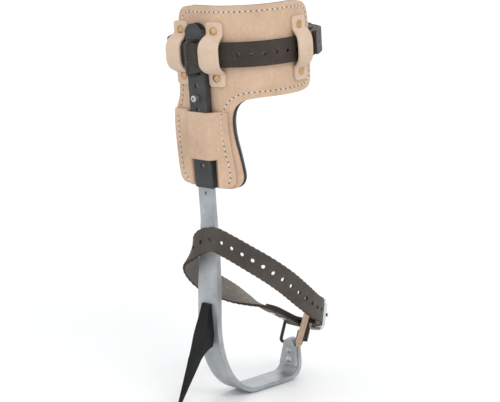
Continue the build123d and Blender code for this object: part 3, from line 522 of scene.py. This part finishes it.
def drape():
    """Cross-section of the pocket's grain face over the sleeve: rows of (run, x, y) along it."""
    high = LAYER_GAP + POCKET_T
    over = -SLEEVE_HALF - 0.4 - POCKET_T
    side = np.array([
        (-44.0, FACE_X - high, 44.0), (-34.0, FACE_X - high, 34.0), (-25.0, FACE_X - high - 0.2, 25.0),
        (-20.5, 0.2, 20.2), (-17.0, -4.6, 16.8), (-13.0, over - 0.1, 13.0), (-7.0, over - 0.3, 7.0),
        (0.0, over - 0.4, 0.0), (7.0, over - 0.3, -7.0), (13.0, over - 0.1, -13.0),
        (17.0, -4.6, -16.8), (20.5, 0.3, -20.4),
    ])
    runs = np.array([25.0, 31.0, 40.0])
    turn = (runs - TURN_RUN) / PAD_R
    far = np.stack([
        runs, FACE_X + PAD_R - (PAD_R + high) * np.cos(turn), -TURN_RUN - (PAD_R + high) * np.sin(turn)
    ], axis=-1)
    return smooth(np.vstack([side, far]), 400)


def pocket_sheet():
    """The pocket: the draped cross-section carried up the sleeve, between edges that follow the pad's,
    with the notch for the sleeve's lower end left out."""
    section = drape()
    heights = np.concatenate([
        np.linspace(0.6, 6.0, 8)[:-1], np.linspace(6.0, POCKET_NOTCH, 20)[:-1],
        np.linspace(POCKET_NOTCH, POCKET_TOP, 34)
    ])
    left = np.interp(heights, *np.array(POCKET_LEFT).T)
    right = np.interp(heights, *np.array(POCKET_RIGHT).T)
    edge = np.full_like(heights, NOTCH_HALF)
    share = np.linspace(0, 1, 17)[None, :]
    middle = np.linspace(-1, 1, 33)[None, :]
    runs = np.hstack([
        (left[:, None] * (1 - share) - edge[:, None] * share)[:, :-1],
        edge[:, None] * middle,
        (edge[:, None] * (1 - share) + right[:, None] * share)[:, 1:],
    ])
    heights = np.broadcast_to(heights[:, None], runs.shape)
    x = np.interp(runs, section[:, 0], section[:, 1])
    y = np.interp(runs, section[:, 0], section[:, 2])
    sag = 0.5 * np.sin(np.pi * np.clip(heights / POCKET_TOP, 0, 1)) * np.exp(-((runs / 16) ** 4))
    mid_run = (runs[:-1, :-1] + runs[1:, 1:]) / 2
    mid_height = (heights[:-1, :-1] + heights[1:, 1:]) / 2
    keep = ~((abs(mid_run) < NOTCH_HALF) & (mid_height < POCKET_NOTCH))
    points = on_sleeve(x - sag, y, heights)
    return panel("pocket_leather", points, np.stack([runs, heights], axis=-1), POCKET_T, keep, True, 0.6)


def stitch_line(name, route, pitch, lift):
    """Saddle stitches, and dark dots of painted shade standing for their awl holes, along a route of
    (run, height), lifted on to the pocket where the route is below its mouth."""
    line = smooth(route, 1200)
    along = lengths(line)
    spots = at(np.arange(pitch / 2, along[-1], pitch), along, line)
    ahead = at(np.arange(pitch / 2, along[-1], pitch) + 0.5, along, line)
    on_pocket = np.where(spots[:, 1] < POCKET_TOP + 0.5, lift, 0.0)
    centres = on_pad(spots[:, 0], spots[:, 1], -on_pocket)
    ways = unit(on_pad(ahead[:, 0], ahead[:, 1], -on_pocket) - centres)
    normals = pad_normal(spots[:, 0])
    thread = beads(name, centres, ways, normals, pitch * 0.66, 0.55)
    # Raised dark dots between the stitches: painted shade of the awl holes, not holes cut in the leather
    holes = discs(name + "_painted_hole_shade", centres + ways * pitch / 2 - normals * 0.02, normals, 0.85, 0.12)
    return thread, holes


def keeper_sheet(name, run, rise):
    """Leather keeper: a strip up the pad, flat at both feet, that rises off it between them by
    rise (1 - u^3.6), where u is the height from its middle over 20.5; the corner at the feet is eased."""
    height = np.linspace(-33, 33, 140)[:, None]
    arch = rise * (1 - (abs(height) / 20.5) ** 3.6)
    off = LAYER_GAP + 2.6 + (arch + np.sqrt(arch**2 + 1.6)) / 2
    half = rounded_ends(66.0, 9.5, 3.5)(height + 33)
    across = np.linspace(-1, 1, 19)[None, :] * half
    points = on_pad(run + across, STRAP_HEIGHT + height + 0 * across, -(off + 0 * across))
    uv = np.stack([across, height + 0 * across], axis=-1)
    return panel(name + "_leather", points, uv, 2.6, None, True, 0.5)


# ------------------------------------------------------------------ straps
RING_TALL, RING_WIDE, RING_LEAN = 26.0, 29.6, np.radians(20.0)
RING_R, WIRE_R, ROLLER_R, BUCKLE_LONG = 1.9, 1.75, 2.9, 21.0
PIVOT = np.array(JOINTS["ring_swing"]["pos_m"]) / MM
HEEL = np.array(JOINTS["foot_tongue_hinge"]["pos_m"]) / MM
BAR = np.array(JOINTS["foot_tongue_hinge"]["axis"])
TO_ROLLER = unit(np.array(JOINTS["foot_roller_spin"]["pos_m"]) / MM - HEEL)
BUCKLE_OUT = np.cross(BAR, TO_ROLLER)
LEG_WAY = np.array([np.sin(RING_LEAN), 0.0, np.cos(RING_LEAN)])
RING_TOP = PIVOT + LEG_WAY * RING_TALL


def at_buckle(x, z):
    """Point of the ankle buckle's middle plane: x from the heel bar to the roller, z outwards."""
    return HEEL + TO_ROLLER * x + BUCKLE_OUT * z


def fold(bar, toward, out, reach):
    """Line of (point, normal) round a bar: in on its inner side, round the far side, back on its outer."""
    return [
        (bar + (toward * np.sin(a) - out * np.cos(a)) * reach, toward * np.sin(a) - out * np.cos(a))
        for a in np.radians((0, 45, 90, 135, 180))
    ]


def ankle_route():
    """Centre line and outward normals of the ankle strap, from its riveted end round to its tip."""
    pull = unit(np.array([-0.88, 0.0, 0.47]))
    crown = np.cross(np.array([0, 1.0, 0]), pull)
    pair = FOOT_T / 2 + LAYER_GAP
    ring_end = fold(RING_TOP, -pull, crown, RING_R + 0.4 + FOOT_T / 2)[::-1]
    stations = [(RING_TOP + pull * far + crown * pair, crown) for far in (52, 14)]
    stations += ring_end
    stations += [(RING_TOP + pull * far - crown * pair, -crown) for far in (14, 53)]
    stations += [(np.array(point, float), np.array(normal, float)) for point, normal in (
        ((5, 6, 94), (-0.2, 0.4, -0.85)), ((-14, 14, 104), (-0.1, 0.8, -0.55)),
        ((-32, 21, 114), (0, 0.95, -0.3)), ((-50, 26, 125), (-0.1, 1, -0.2)),
        ((-64, 26, 140), (-0.3, 0.85, 0.3)), ((-73.5, 19, 153), (-0.45, 0.75, 0.45)),
        ((-78.5, 7, 165.5), (-0.86, 0.4, 0.24)), ((-78, -6, 174.5), (-0.97, -0.05, 0.12)),
        ((-75, -18, 176.5), (-0.95, -0.3, 0.03)), ((-70, -36, 170), (-0.95, -0.3, 0)),
        ((-62, -54, 160.5), (-0.9, -0.45, 0)),
        ((-50, -70, 149), (-0.7, -0.7, 0)), ((-32, -80, 134), (-0.4, -0.9, 0)),
        ((-12, -85, 117), (-0.1, -1, 0)), ((9, -84, 102), (0.2, -0.98, 0)), ((30, -77, 92), (0.5, -0.87, 0)),
    )]
    stations += [
        (at_buckle(BUCKLE_LONG + 10, -11.0), BUCKLE_OUT * 0.6 + np.array([0.4, -0.75, 0])),
        (at_buckle(BUCKLE_LONG, -ROLLER_R - 0.35 - FOOT_T / 2), BUCKLE_OUT),
        (at_buckle(BUCKLE_LONG - 7, -3.0), BUCKLE_OUT),
        (at_buckle(3, 7.8), BUCKLE_OUT),
        (at_buckle(-4, 9.0), BUCKLE_OUT),
        (at_buckle(-14, 13.2), at_buckle(-4, 10) - HEEL),
        (at_buckle(-26, 20.0), at_buckle(-4, 8) - HEEL),
    ]
    centres = smooth([point for point, normal in stations], 1400)
    normals = unit(smooth([unit(normal) for point, normal in stations], 1400))
    forward = unit(np.gradient(centres, axis=0))
    normals = unit(normals - forward * np.sum(normals * forward, axis=1, keepdims=True))
    return centres, normals


def ankle_strap():
    """Ankle strap: narrow where it is doubled in the ring, a row of holes round the front, and the hole
    that the tongue pulls long."""
    centre, normal = ankle_route()
    along = lengths(centre)
    crest = along[np.argmin(np.linalg.norm(centre - np.array([-79, 7, 168]), axis=1))] - 2.4
    ring_end = along[np.argmin(np.linalg.norm(centre - np.array([28.0, -2.5, 82.4]), axis=1)[300:]) + 300]
    x = (centre - HEEL) @ TO_ROLLER
    late = along > along[-1] - 70
    slot_start = along[late & (x < 14)][0]
    slot_end = along[late & (x < 3.5)][0]
    ends = rounded_ends(along[-1], STRAP_HALF, 9.0, 0.3)
    holes = crest + HOLE_PITCH * np.arange(17)
    return strap(
        "ankle_strap_leather", centre, normal, FOOT_T, holes=holes, hole_r=2.2, shift=crest % CELL,
        slots=[(slot_start, slot_end, 2.4)], back=1, rim=2,
        half=lambda d: ends(d) * np.interp(d, [0, ring_end, ring_end + 30], [0.81, 0.81, 1]),
    )


def left_of(flat):
    """Unit vectors to the left of a flat line's direction."""
    forward = unit(np.gradient(flat, axis=0))
    return np.stack([-forward[:, 1], forward[:, 0]], axis=-1)


def calf_strap():
    """Calf strap: a flat line in the sleeve's cross plane, round the leg and through its buckle, made as
    wide as the strap up the sleeve."""
    radius = PAD_R + 0.65 + CALF_T / 2
    centre = np.array([FACE_X + PAD_R, -TURN_RUN])

    def ring(angles, extra=0.0):
        a = np.radians(np.array(angles, float))
        return (centre + np.stack([np.cos(a), np.sin(a)], axis=-1) * (radius + extra)).tolist()

    heel = (np.array(JOINTS["calf_tongue_hinge"]["pos_m"]) / MM - FOOT)
    heel = np.array([heel @ OUT, heel[1]])
    turn = np.radians(np.arange(180, -31, -30))
    bend = WIRE_R + 0.3 + CALF_T / 2
    over = SLEEVE_HALF + 0.3 + CALF_T / 2
    route = ring(range(320, 346, 6))
    route += (heel + bend * np.stack([np.cos(turn), np.sin(turn)], axis=-1)).tolist()
    route += ring(range(343, 317, -5), CALF_T + 0.3) + ring([309], 0.8) + ring(range(302, 195, -9))
    route += [(-over, -12.9), (-over - 0.2, 0), (-over, 12.9), (-0.8, 25), (1.2, 30), (3.6, 38), (13, 53)]
    route += [(34, 66), (62, 71), (92, 66), (115, 51), (127, 30), (heel[0] - 6.2, 13)]
    route += [
        (heel[0] - ROLLER_R - 0.35 - CALF_T / 2, heel[1] + BUCKLE_LONG),
        (heel[0] - 3.0, heel[1] + BUCKLE_LONG - 7),
        (heel[0] + 7.9, heel[1] + 3.5),
        (heel[0] + 8.4, heel[1] - 5),
    ]
    route += ring(range(341, 320, -5), 2 * CALF_T + 1.8) + ring([311], CALF_T + 1.7)
    route += ring([296], CALF_T + 0.6)
    flat = smooth(route, 2600)
    out = left_of(flat)
    points = on_sleeve(flat[:, 0], flat[:, 1], np.full(len(flat), STRAP_HEIGHT))
    normals = out[:, :1] * OUT + out[:, 1:] * np.array([[0, 1.0, 0]])
    along = lengths(points)
    first = np.pi + (47.2 - TURN_RUN) / PAD_R
    spot = centre + np.array([np.cos(first), np.sin(first)]) * radius
    main = np.linalg.norm(flat - spot, axis=1) + np.where(along < 90, 1e3, 0)
    last_hole = along[np.argmin(main)]
    late = along > along[-1] - 95
    past = heel[1] + 3.0
    slot_start = along[late & (flat[:, 1] < past + 12)][0]
    slot_end = along[late & (flat[:, 1] < past)][0]
    tip_hole = last_hole + CELL * round((along[-1] - 14 - last_hole) / CELL)
    holes = np.concatenate([last_hole - HOLE_PITCH * np.arange(6), [tip_hole]])
    return strap(
        "calf_strap_leather", points, normals, CALF_T, holes=holes, hole_r=1.9, shift=last_hole % CELL,
        slots=[(slot_start, slot_end, 2.4), (28.0, 40.0, 2.6)], back=1, rim=2,
        half=rounded_ends(along[-1], STRAP_HALF, 8.0, 0.0),
    )


def buckle_strap():
    """Short strip from the buckle's heel bar to the ring's near leg: a flat loop about both bars whose
    height slides from one to the other, and whose width narrows towards the ring."""
    leg = PIVOT + LEG_WAY * 11.5 - np.array([0, RING_WIDE / 2, 0])
    link = leg - HEEL
    drop = link @ BAR
    way = unit(link - BAR * drop)
    run = link @ way
    side = np.cross(BAR, way)
    middle = run / 2 - 1
    leg_turn = np.radians([115, 70, 30, 0, -30, -70, -115])
    heel_turn = np.radians([-115, -145, -180, -215, -245])
    route = [(middle - 6, 1.6), (middle + 4, 1.6)]
    route += (np.array([run, 0]) + 5.5 * np.stack([np.cos(leg_turn), np.sin(leg_turn)], axis=-1)).tolist()
    route += [(middle + 4, -1.6), (middle - 4, -1.6)]
    route += (3.6 * np.stack([np.cos(heel_turn), np.sin(heel_turn)], axis=-1)).tolist()
    route += [(middle - 7.5, 2.0)]
    flat = smooth(route, 500)
    share = np.clip((flat[:, 0] - 3) / (run - 9), 0, 1)
    share = (share**2 * (3 - 2 * share))[:, None]
    out = left_of(flat)
    points = HEEL + flat[:, :1] * way + flat[:, 1:] * side + share * drop * BAR
    normals = out[:, :1] * way + out[:, 1:] * side
    wide = unit(BAR * (1 - share) + LEG_WAY * share)
    along = lengths(points)
    half = 10.0 - 4.0 * share[:, 0]
    near = along[flat[:, 0] < 1.5]
    return strap(
        "buckle_strap_leather", points, normals, 2.8, wide=wide, back=1, rim=2,
        slots=[(near[0], near[-1], 2.7)], half=lambda d: np.interp(d, along, half),
    )


def guard_leaf(name, near, far):
    """One leaf of the buckle guard: a rounded plate between two distances along its normal."""
    low, high = (np.array(corner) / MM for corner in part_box("strap_guard"))
    up = unit(np.array([0.176, -0.192, 0.966]))
    way = unit(np.array([0.737, 0.676, 0]) - up * (np.array([0.737, 0.676, 0]) @ up))
    normal = np.cross(way, up)
    height = np.linspace(-31, 31, 60)[:, None]
    half = rounded_ends(62.0, 10.0, 5.0)(height + 31)
    across = np.linspace(-1, 1, 21)[None, :] * half
    crown = 0.35 * (across / 10) ** 2
    points = (low + high) / 2 + across[..., None] * way + height[..., None] * up
    points = points + (far - crown)[..., None] * normal
    return panel(name, points, np.stack([across, height + 0 * across], axis=-1), abs(far - near), None,
                 True, 0.6)


# ------------------------------------------------------------------ putting pieces in place
def dress(piece, body, slot, *finishes):
    """Gives a new piece its finishes in order and the body it rides on; slot is not used."""
    for finish in finishes:
        piece.data.materials.append(MADE[finish])
    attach(piece, body)
    return piece


def finish_nodes(nodes, finish, edge, angle=0.6):
    """Gives CAD nodes a finish, with their sharp edges eased by a small bevel and their shading evened."""
    for name in nodes:
        node = frame["nodes"][name]
        node.data.materials.clear()
        node.data.materials.append(MADE[finish])
        node.data.polygons.foreach_set("material_index", np.zeros(len(node.data.polygons), np.int32))
        weld = node.modifiers.new("Weld", "WELD")
        weld.merge_threshold = 0.00001
        bevel = node.modifiers.new("Edge", "BEVEL")
        bevel.width = edge * MM
        bevel.segments = 2
        bevel.limit_method = "ANGLE"
        bevel.angle_limit = angle
        bevel.harden_normals = False
        even = node.modifiers.new("Even", "WEIGHTED_NORMAL")
        even.keep_sharp = False
        node.data.polygons.foreach_set("use_smooth", np.ones(len(node.data.polygons), bool))


def colour(text, default):
    """Colour property with a name and a default in linear values."""
    return FloatVectorProperty(
        name=text, description=text + ", linear", default=default, size=3, min=0, max=1, subtype="COLOR"
    )


class ClimberSizes(bpy.types.PropertyGroup):
    """Sizes of the finish that the CAD does not carry."""

    stitch_pitch: FloatProperty(
        name="Stitch pitch", description="Distance from one saddle stitch to the next", default=0.0056,
        min=0.003, max=0.012, unit="LENGTH",
    )
    steel_edge: FloatProperty(
        name="Steel edge", description="Rounding of the forged edges", default=0.0006, min=0.0001,
        max=0.002, unit="LENGTH",
    )
    fitting_edge: FloatProperty(
        name="Fitting edge", description="Rounding of the small fittings' edges", default=0.0002,
        min=0.00005, max=0.001, unit="LENGTH",
    )
    felt_show: FloatProperty(
        name="Felt shown", description="How far the felt reaches past the leather on its inner side",
        default=0.0022, min=0, max=0.006, unit="LENGTH",
    )
    floor_side: FloatProperty(
        name="Floor side", description="Side of the floor", default=8.0, min=2, max=20, unit="LENGTH"
    )
    floor_cells: IntProperty(
        name="Floor cells", description="Cells along the floor", default=120, min=4, max=200
    )


class ClimberColours(bpy.types.PropertyGroup):
    """Colours of the leathers and metals."""

    tan_light: colour("Tan leather, light", (0.64, 0.455, 0.325))
    tan_dark: colour("Tan leather, dark", (0.49, 0.335, 0.225))
    tan_edge: colour("Tan leather, cut edge", (0.44, 0.30, 0.19))
    keeper_light: colour("Keeper leather, light", (0.68, 0.52, 0.40))
    keeper_dark: colour("Keeper leather, dark", (0.57, 0.42, 0.31))
    guard_light: colour("Guard leather, light", (0.58, 0.42, 0.30))
    guard_dark: colour("Guard leather, dark", (0.46, 0.32, 0.22))
    brown_light: colour("Calf strap, light", (0.046, 0.034, 0.026))
    brown_dark: colour("Calf strap, dark", (0.024, 0.017, 0.013))
    foot_light: colour("Ankle strap, light", (0.078, 0.064, 0.054))
    foot_dark: colour("Ankle strap, dark", (0.040, 0.031, 0.025))
    flesh_light: colour("Strap flesh side, light", (0.22, 0.19, 0.165))
    flesh_dark: colour("Strap flesh side, dark", (0.13, 0.11, 0.095))
    felt: colour("Felt", (0.012, 0.012, 0.013))
    thread: colour("Thread", (0.86, 0.82, 0.74))
    steel_light: colour("Steel, light", (0.45, 0.475, 0.49))
    steel_dark: colour("Steel, dark", (0.30, 0.32, 0.325))
    black_light: colour("Black enamel, light", (0.016, 0.016, 0.017))
    black_dark: colour("Black enamel, dark", (0.008, 0.008, 0.009))
    sleeve_light: colour("Sleeve enamel, light", (0.046, 0.049, 0.050))
    sleeve_dark: colour("Sleeve enamel, dark", (0.022, 0.024, 0.025))
    nickel: colour("Nickel plate", (0.76, 0.76, 0.73))
    brass: colour("Brass", (0.66, 0.45, 0.22))
    floor: colour("Floor", (0.90, 0.90, 0.90))


class ClimberPiece:
    """Shared part of the operators: run() does the work, and a failure stops the script."""

    bl_options = {"REGISTER", "UNDO"}

    def execute(self, context):
        self.run(context.scene.climber_sizes, context.scene.climber_colours)
        return {"FINISHED"}


class CLIMBER_OT_finishes(ClimberPiece, bpy.types.Operator):
    """Makes the surface groups and every material"""

    bl_idname = "climber.finishes"
    bl_label = "Finishes"

    def run(self, sizes, colours):
        hide, iron = leather_group(), metal_group()
        c = colours
        pale = (0.80, 0.66, 0.52)
        MADE["tan"] = leather("Tan leather", hide, c.tan_light, c.tan_dark, pale, 0.62)
        MADE["tan edge"] = leather("Tan cut edge", hide, c.tan_light, c.tan_edge, pale, 0.75, 1500.0)
        MADE["keeper"] = leather("Keeper leather", hide, c.keeper_light, c.keeper_dark, pale, 0.6)
        MADE["guard"] = leather("Guard leather", hide, c.guard_light, c.guard_dark, pale, 0.62)
        worn = (0.16, 0.12, 0.09)
        MADE["brown"] = leather("Strap leather", hide, c.brown_light, c.brown_dark, worn, 0.50, 700.0)
        MADE["flesh"] = leather(
            "Strap flesh side", hide, c.flesh_light, c.flesh_dark, pale, 0.85, 1600.0, 0.0003, 0.2
        )
        MADE["brown edge"] = leather("Strap cut edge", hide, c.brown_light, c.brown_dark, worn, 0.65, 1600.0)
        MADE["foot"] = leather("Ankle strap leather", hide, c.foot_light, c.foot_dark, worn, 0.55, 700.0)
        soot = (0.030, 0.030, 0.032)
        MADE["felt"] = leather("Felt", hide, soot, c.felt, soot, 0.95, 2400.0, 0.0008, 0.5)
        MADE["thread"] = leather("Thread", hide, c.thread, (0.62, 0.57, 0.49), c.thread, 0.75, 3000.0)
        # Awl hole dots: these dark browns are painted shade of the holes' hollows
        MADE["awl hole painted shade"] = leather("Painted awl hole shade", hide, (0.10, 0.06, 0.035), (0.05, 0.03, 0.02), soot, 0.9)
        bare = (0.55, 0.56, 0.57)
        MADE["steel"] = metal(
            "Zinc grey steel", iron, c.steel_light, c.steel_dark, bare, 0.46, 0.55, 380.0, 0.00010, 0.6
        )
        MADE["black"] = metal(
            "Black enamel", iron, c.black_light, c.black_dark, (0.10, 0.10, 0.10), 0.42, 0.0,
            320.0, 0.00012, 0.35, 0.14
        )
        MADE["sleeve black"] = metal(
            "Sleeve enamel", iron, c.sleeve_light, c.sleeve_dark, (0.16, 0.16, 0.16), 0.38, 0.0,
            320.0, 0.00010, 0.4, 0.4
        )
        MADE["wire"] = metal("Black wire", iron, (0.05, 0.05, 0.05), c.black_dark, bare, 0.34, 0.3, 600.0)
        MADE["screw"] = metal("Dark screw", iron, (0.10, 0.10, 0.10), (0.05, 0.05, 0.05), bare, 0.4, 0.7)
        MADE["zinc"] = metal("Zinc screw", iron, (0.62, 0.62, 0.60), (0.45, 0.45, 0.44), bare, 0.35, 0.9)
        MADE["nickel"] = metal("Nickel plate", iron, c.nickel, (0.60, 0.60, 0.58), bare, 0.24, 1.0, 700.0)
        MADE["brass"] = metal("Brass rivet", iron, c.brass, (0.46, 0.29, 0.14), (0.8, 0.6, 0.35), 0.34, 1.0)


class CLIMBER_OT_steel(ClimberPiece, bpy.types.Operator):
    """Finishes the leg iron, gaff, sleeve, ring, screws and every buckle and rivet"""

    bl_idname = "climber.steel"
    bl_label = "Metal pieces"

    def run(self, sizes, colours):
        big, small = sizes.steel_edge / MM, sizes.fitting_edge / MM
        finish_nodes(("leg_iron",), "steel", big)
        finish_nodes(("ring_clip",), "steel", small)
        finish_nodes(("clip_rivets",), "zinc", small)
        finish_nodes(("gaff",), "black", big)
        finish_nodes(("sleeve",), "sleeve black", small * 2)
        finish_nodes(("ankle_ring", "strap_loop"), "wire", small)
        finish_nodes(("gaff_screws",), "screw", small)
        finish_nodes(("lock_screw",), "zinc", small)
        finish_nodes(("keeper_rivets",), "brass", small)
        finish_nodes((
            "foot_buckle_frame", "foot_buckle_roller", "foot_buckle_tongue", "calf_buckle_frame",
            "calf_buckle_roller", "calf_buckle_tongue", "foot_strap_rivets", "buckle_strap_rivet",
            "calf_strap_rivets",
        ), "nickel", small)


class CLIMBER_OT_pad(ClimberPiece, bpy.types.Operator):
    """Makes the calf pad's leather and the felt behind it"""

    bl_idname = "climber.pad"
    bl_label = "Calf pad"

    def run(self, sizes, colours):
        hide = pad_sheet("calf_pad_leather", (0, 0), 0.0, LEATHER_T, 0.8, 1)
        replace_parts(dress(hide, "sleeve", "tan_leather", "tan", "tan edge"), "pad_leather")
        shown = sizes.felt_show / MM
        felt = pad_sheet("calf_pad_felt", (-0.8, shown), LEATHER_T + LAYER_GAP, FELT_T, 1.2, 0)
        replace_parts(dress(felt, "sleeve", "black_felt", "felt"), "pad_felt")


class CLIMBER_OT_pocket(ClimberPiece, bpy.types.Operator):
    """Makes the pocket over the sleeve and the saddle stitching round it and the pad"""

    bl_idname = "climber.pocket"
    bl_label = "Pocket and stitching"

    def run(self, sizes, colours):
        pocket = pocket_sheet()
        pocket.modifiers["Thickness"].material_offset_rim = 1
        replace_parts(dress(pocket, "sleeve", "tan_leather", "tan", "tan edge"), "pocket")
        pitch = sizes.stitch_pitch / MM
        for name, route in (("pad_stitches", RIGHT_STITCHES), ("pocket_stitches", LEFT_STITCHES)):
            thread, holes = stitch_line(name, route, pitch, LAYER_GAP + POCKET_T)
            dress(thread, "sleeve", "tan_leather", "thread")
            # The awl hole dots take the painted shade material
            dress(holes, "sleeve", "tan_leather", "awl hole painted shade")


class CLIMBER_OT_keepers(ClimberPiece, bpy.types.Operator):
    """Makes the three riveted leather keepers that hold the calf strap to the pad"""

    bl_idname = "climber.keepers"
    bl_label = "Strap keepers"

    def run(self, sizes, colours):
        for name, run, rise in (
            ("left_keeper", -23.2, 14.4), ("middle_keeper", 22.4, 14.4), ("right_keeper", 115.0, 8.6)
        ):
            keeper = keeper_sheet(name, run, rise)
            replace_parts(dress(keeper, "sleeve", "tan_leather", "keeper"), name)


class CLIMBER_OT_straps(ClimberPiece, bpy.types.Operator):
    """Makes the calf strap, the ankle strap and the short buckle strap"""

    bl_idname = "climber.straps"
    bl_label = "Straps"

    def run(self, sizes, colours):
        for made, body, node, grain in (
            (calf_strap(), "sleeve", "calf_strap", "brown"),
            (ankle_strap(), "ankle_strap", "foot_strap", "foot"),
            (buckle_strap(), "ankle_strap", "buckle_strap", "brown"),
        ):
            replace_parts(dress(made, body, "brown_leather", grain, "flesh", "brown edge"), node)


class CLIMBER_OT_guard(ClimberPiece, bpy.types.Operator):
    """Makes the two-leaf leather guard behind the ankle buckle"""

    bl_idname = "climber.guard"
    bl_label = "Buckle guard"

    def run(self, sizes, colours):
        outer = guard_leaf("buckle_guard_outer", 0.1, 2.45)
        inner = guard_leaf("buckle_guard_inner", -2.35, -0.05)
        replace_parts(dress(outer, "ankle_strap", "tan_leather", "guard"), "strap_guard")
        dress(inner, "ankle_strap", "tan_leather", "guard")


class CLIMBER_OT_stage(ClimberPiece, bpy.types.Operator):
    """Sets the pale floor, the soft lights, the world and the camera"""

    bl_idname = "climber.stage"
    bl_label = "Stage"

    def run(self, sizes, colours):
        side = sizes.floor_side / MM / 2
        line = np.linspace(-side, side, sizes.floor_cells + 1)
        x, y = np.meshgrid(line, line, indexing="ij")
        sweep = np.maximum(np.hypot(x, y) - 900, 0) ** 2 / 3000
        points = np.stack([x, y, CAD_BOX[0][2] / MM - 0.5 + sweep], axis=-1)
        floor = make_mesh("floor", points.reshape(-1, 3), grid_faces(len(line), len(line)))
        base = tuple(colours.floor)
        paper = leather(
            "Paper floor", leather_group(), base, tuple(v * 0.985 for v in base), base, 0.9, 400.0, 0.00002
        )
        floor.data.materials.append(paper)
        world = bpy.data.worlds.new("Soft room")
        bpy.context.scene.world = world
        world.use_nodes = True
        world.node_tree.nodes["Background"].inputs["Color"].default_value = (0.98, 0.99, 1.0, 1)
        world.node_tree.nodes["Background"].inputs["Strength"].default_value = 0.93
        bpy.context.scene.view_settings.view_transform = "Standard"
        for name, place, size, power in (
            ("key", (-0.6, -1.4, 1.8), 1.0, 13.0), ("fill", (-1.9, 0.3, 0.9), 1.5, 4.0),
            ("rim", (1.4, 0.9, 1.5), 1.2, 8.0),
        ):
            lamp = bpy.data.lights.new(name, "AREA")
            lamp.size = size
            lamp.energy = power
            held = bpy.data.objects.new(name, lamp)
            held.location = place
            aim = Vector((0, 0, 0.2)) - Vector(place)
            held.rotation_euler = aim.to_track_quat("-Z", "Y").to_euler()
            bpy.context.scene.collection.objects.link(held)
        lens = bpy.data.cameras.new("camera")
        lens.sensor_fit = "HORIZONTAL"
        lens.lens = 105.25
        lens.clip_start = 0.05
        camera = bpy.data.objects.new("camera", lens)
        turn, dip, roll = np.radians((42.51, 10.251, 0.283))
        ahead = np.array([np.cos(turn) * np.cos(dip), np.sin(turn) * np.cos(dip), -np.sin(dip)])
        right = np.array([np.sin(turn), -np.cos(turn), 0])
        above = np.cross(right, ahead)
        columns = np.stack([
            right * np.cos(roll) + above * np.sin(roll), above * np.cos(roll) - right * np.sin(roll), -ahead
        ], axis=-1)
        place = Matrix.Translation((-1.1483, -1.0515, 0.4872))
        camera.matrix_world = place @ Matrix(columns.tolist()).to_4x4()
        bpy.context.scene.collection.objects.link(camera)
        bpy.context.scene.camera = camera


STEPS = (
    CLIMBER_OT_finishes, CLIMBER_OT_steel, CLIMBER_OT_pad, CLIMBER_OT_pocket, CLIMBER_OT_keepers,
    CLIMBER_OT_straps, CLIMBER_OT_guard, CLIMBER_OT_stage,
)


class CLIMBER_PT_finish(bpy.types.Panel):
    """Sidebar panel with the sizes, the colours and a button for each step"""

    bl_idname = "CLIMBER_PT_finish"
    bl_label = "Tree climber"
    bl_space_type = "VIEW_3D"
    bl_region_type = "UI"
    bl_category = "Climber"

    def draw(self, context):
        for group in (context.scene.climber_sizes, context.scene.climber_colours):
            for key in group.__annotations__:
                self.layout.prop(group, key)
        for step in STEPS:
            self.layout.operator(step.bl_idname)


CLASSES = (ClimberSizes, ClimberColours, *STEPS, CLIMBER_PT_finish)


def register():
    for item in CLASSES:
        bpy.utils.register_class(item)
    bpy.types.Scene.climber_sizes = PointerProperty(type=ClimberSizes)
    bpy.types.Scene.climber_colours = PointerProperty(type=ClimberColours)


def unregister():
    del bpy.types.Scene.climber_colours
    del bpy.types.Scene.climber_sizes
    for item in reversed(CLASSES):
        bpy.utils.unregister_class(item)


def main():
    """Builds every piece in order."""
    register()
    bpy.ops.climber.finishes()
    bpy.ops.climber.steel()
    bpy.ops.climber.pad()
    bpy.ops.climber.pocket()
    bpy.ops.climber.keepers()
    bpy.ops.climber.straps()
    bpy.ops.climber.guard()
    bpy.ops.climber.stage()
    bpy.context.view_layer.update()


if __name__ == "__main__":
    main()
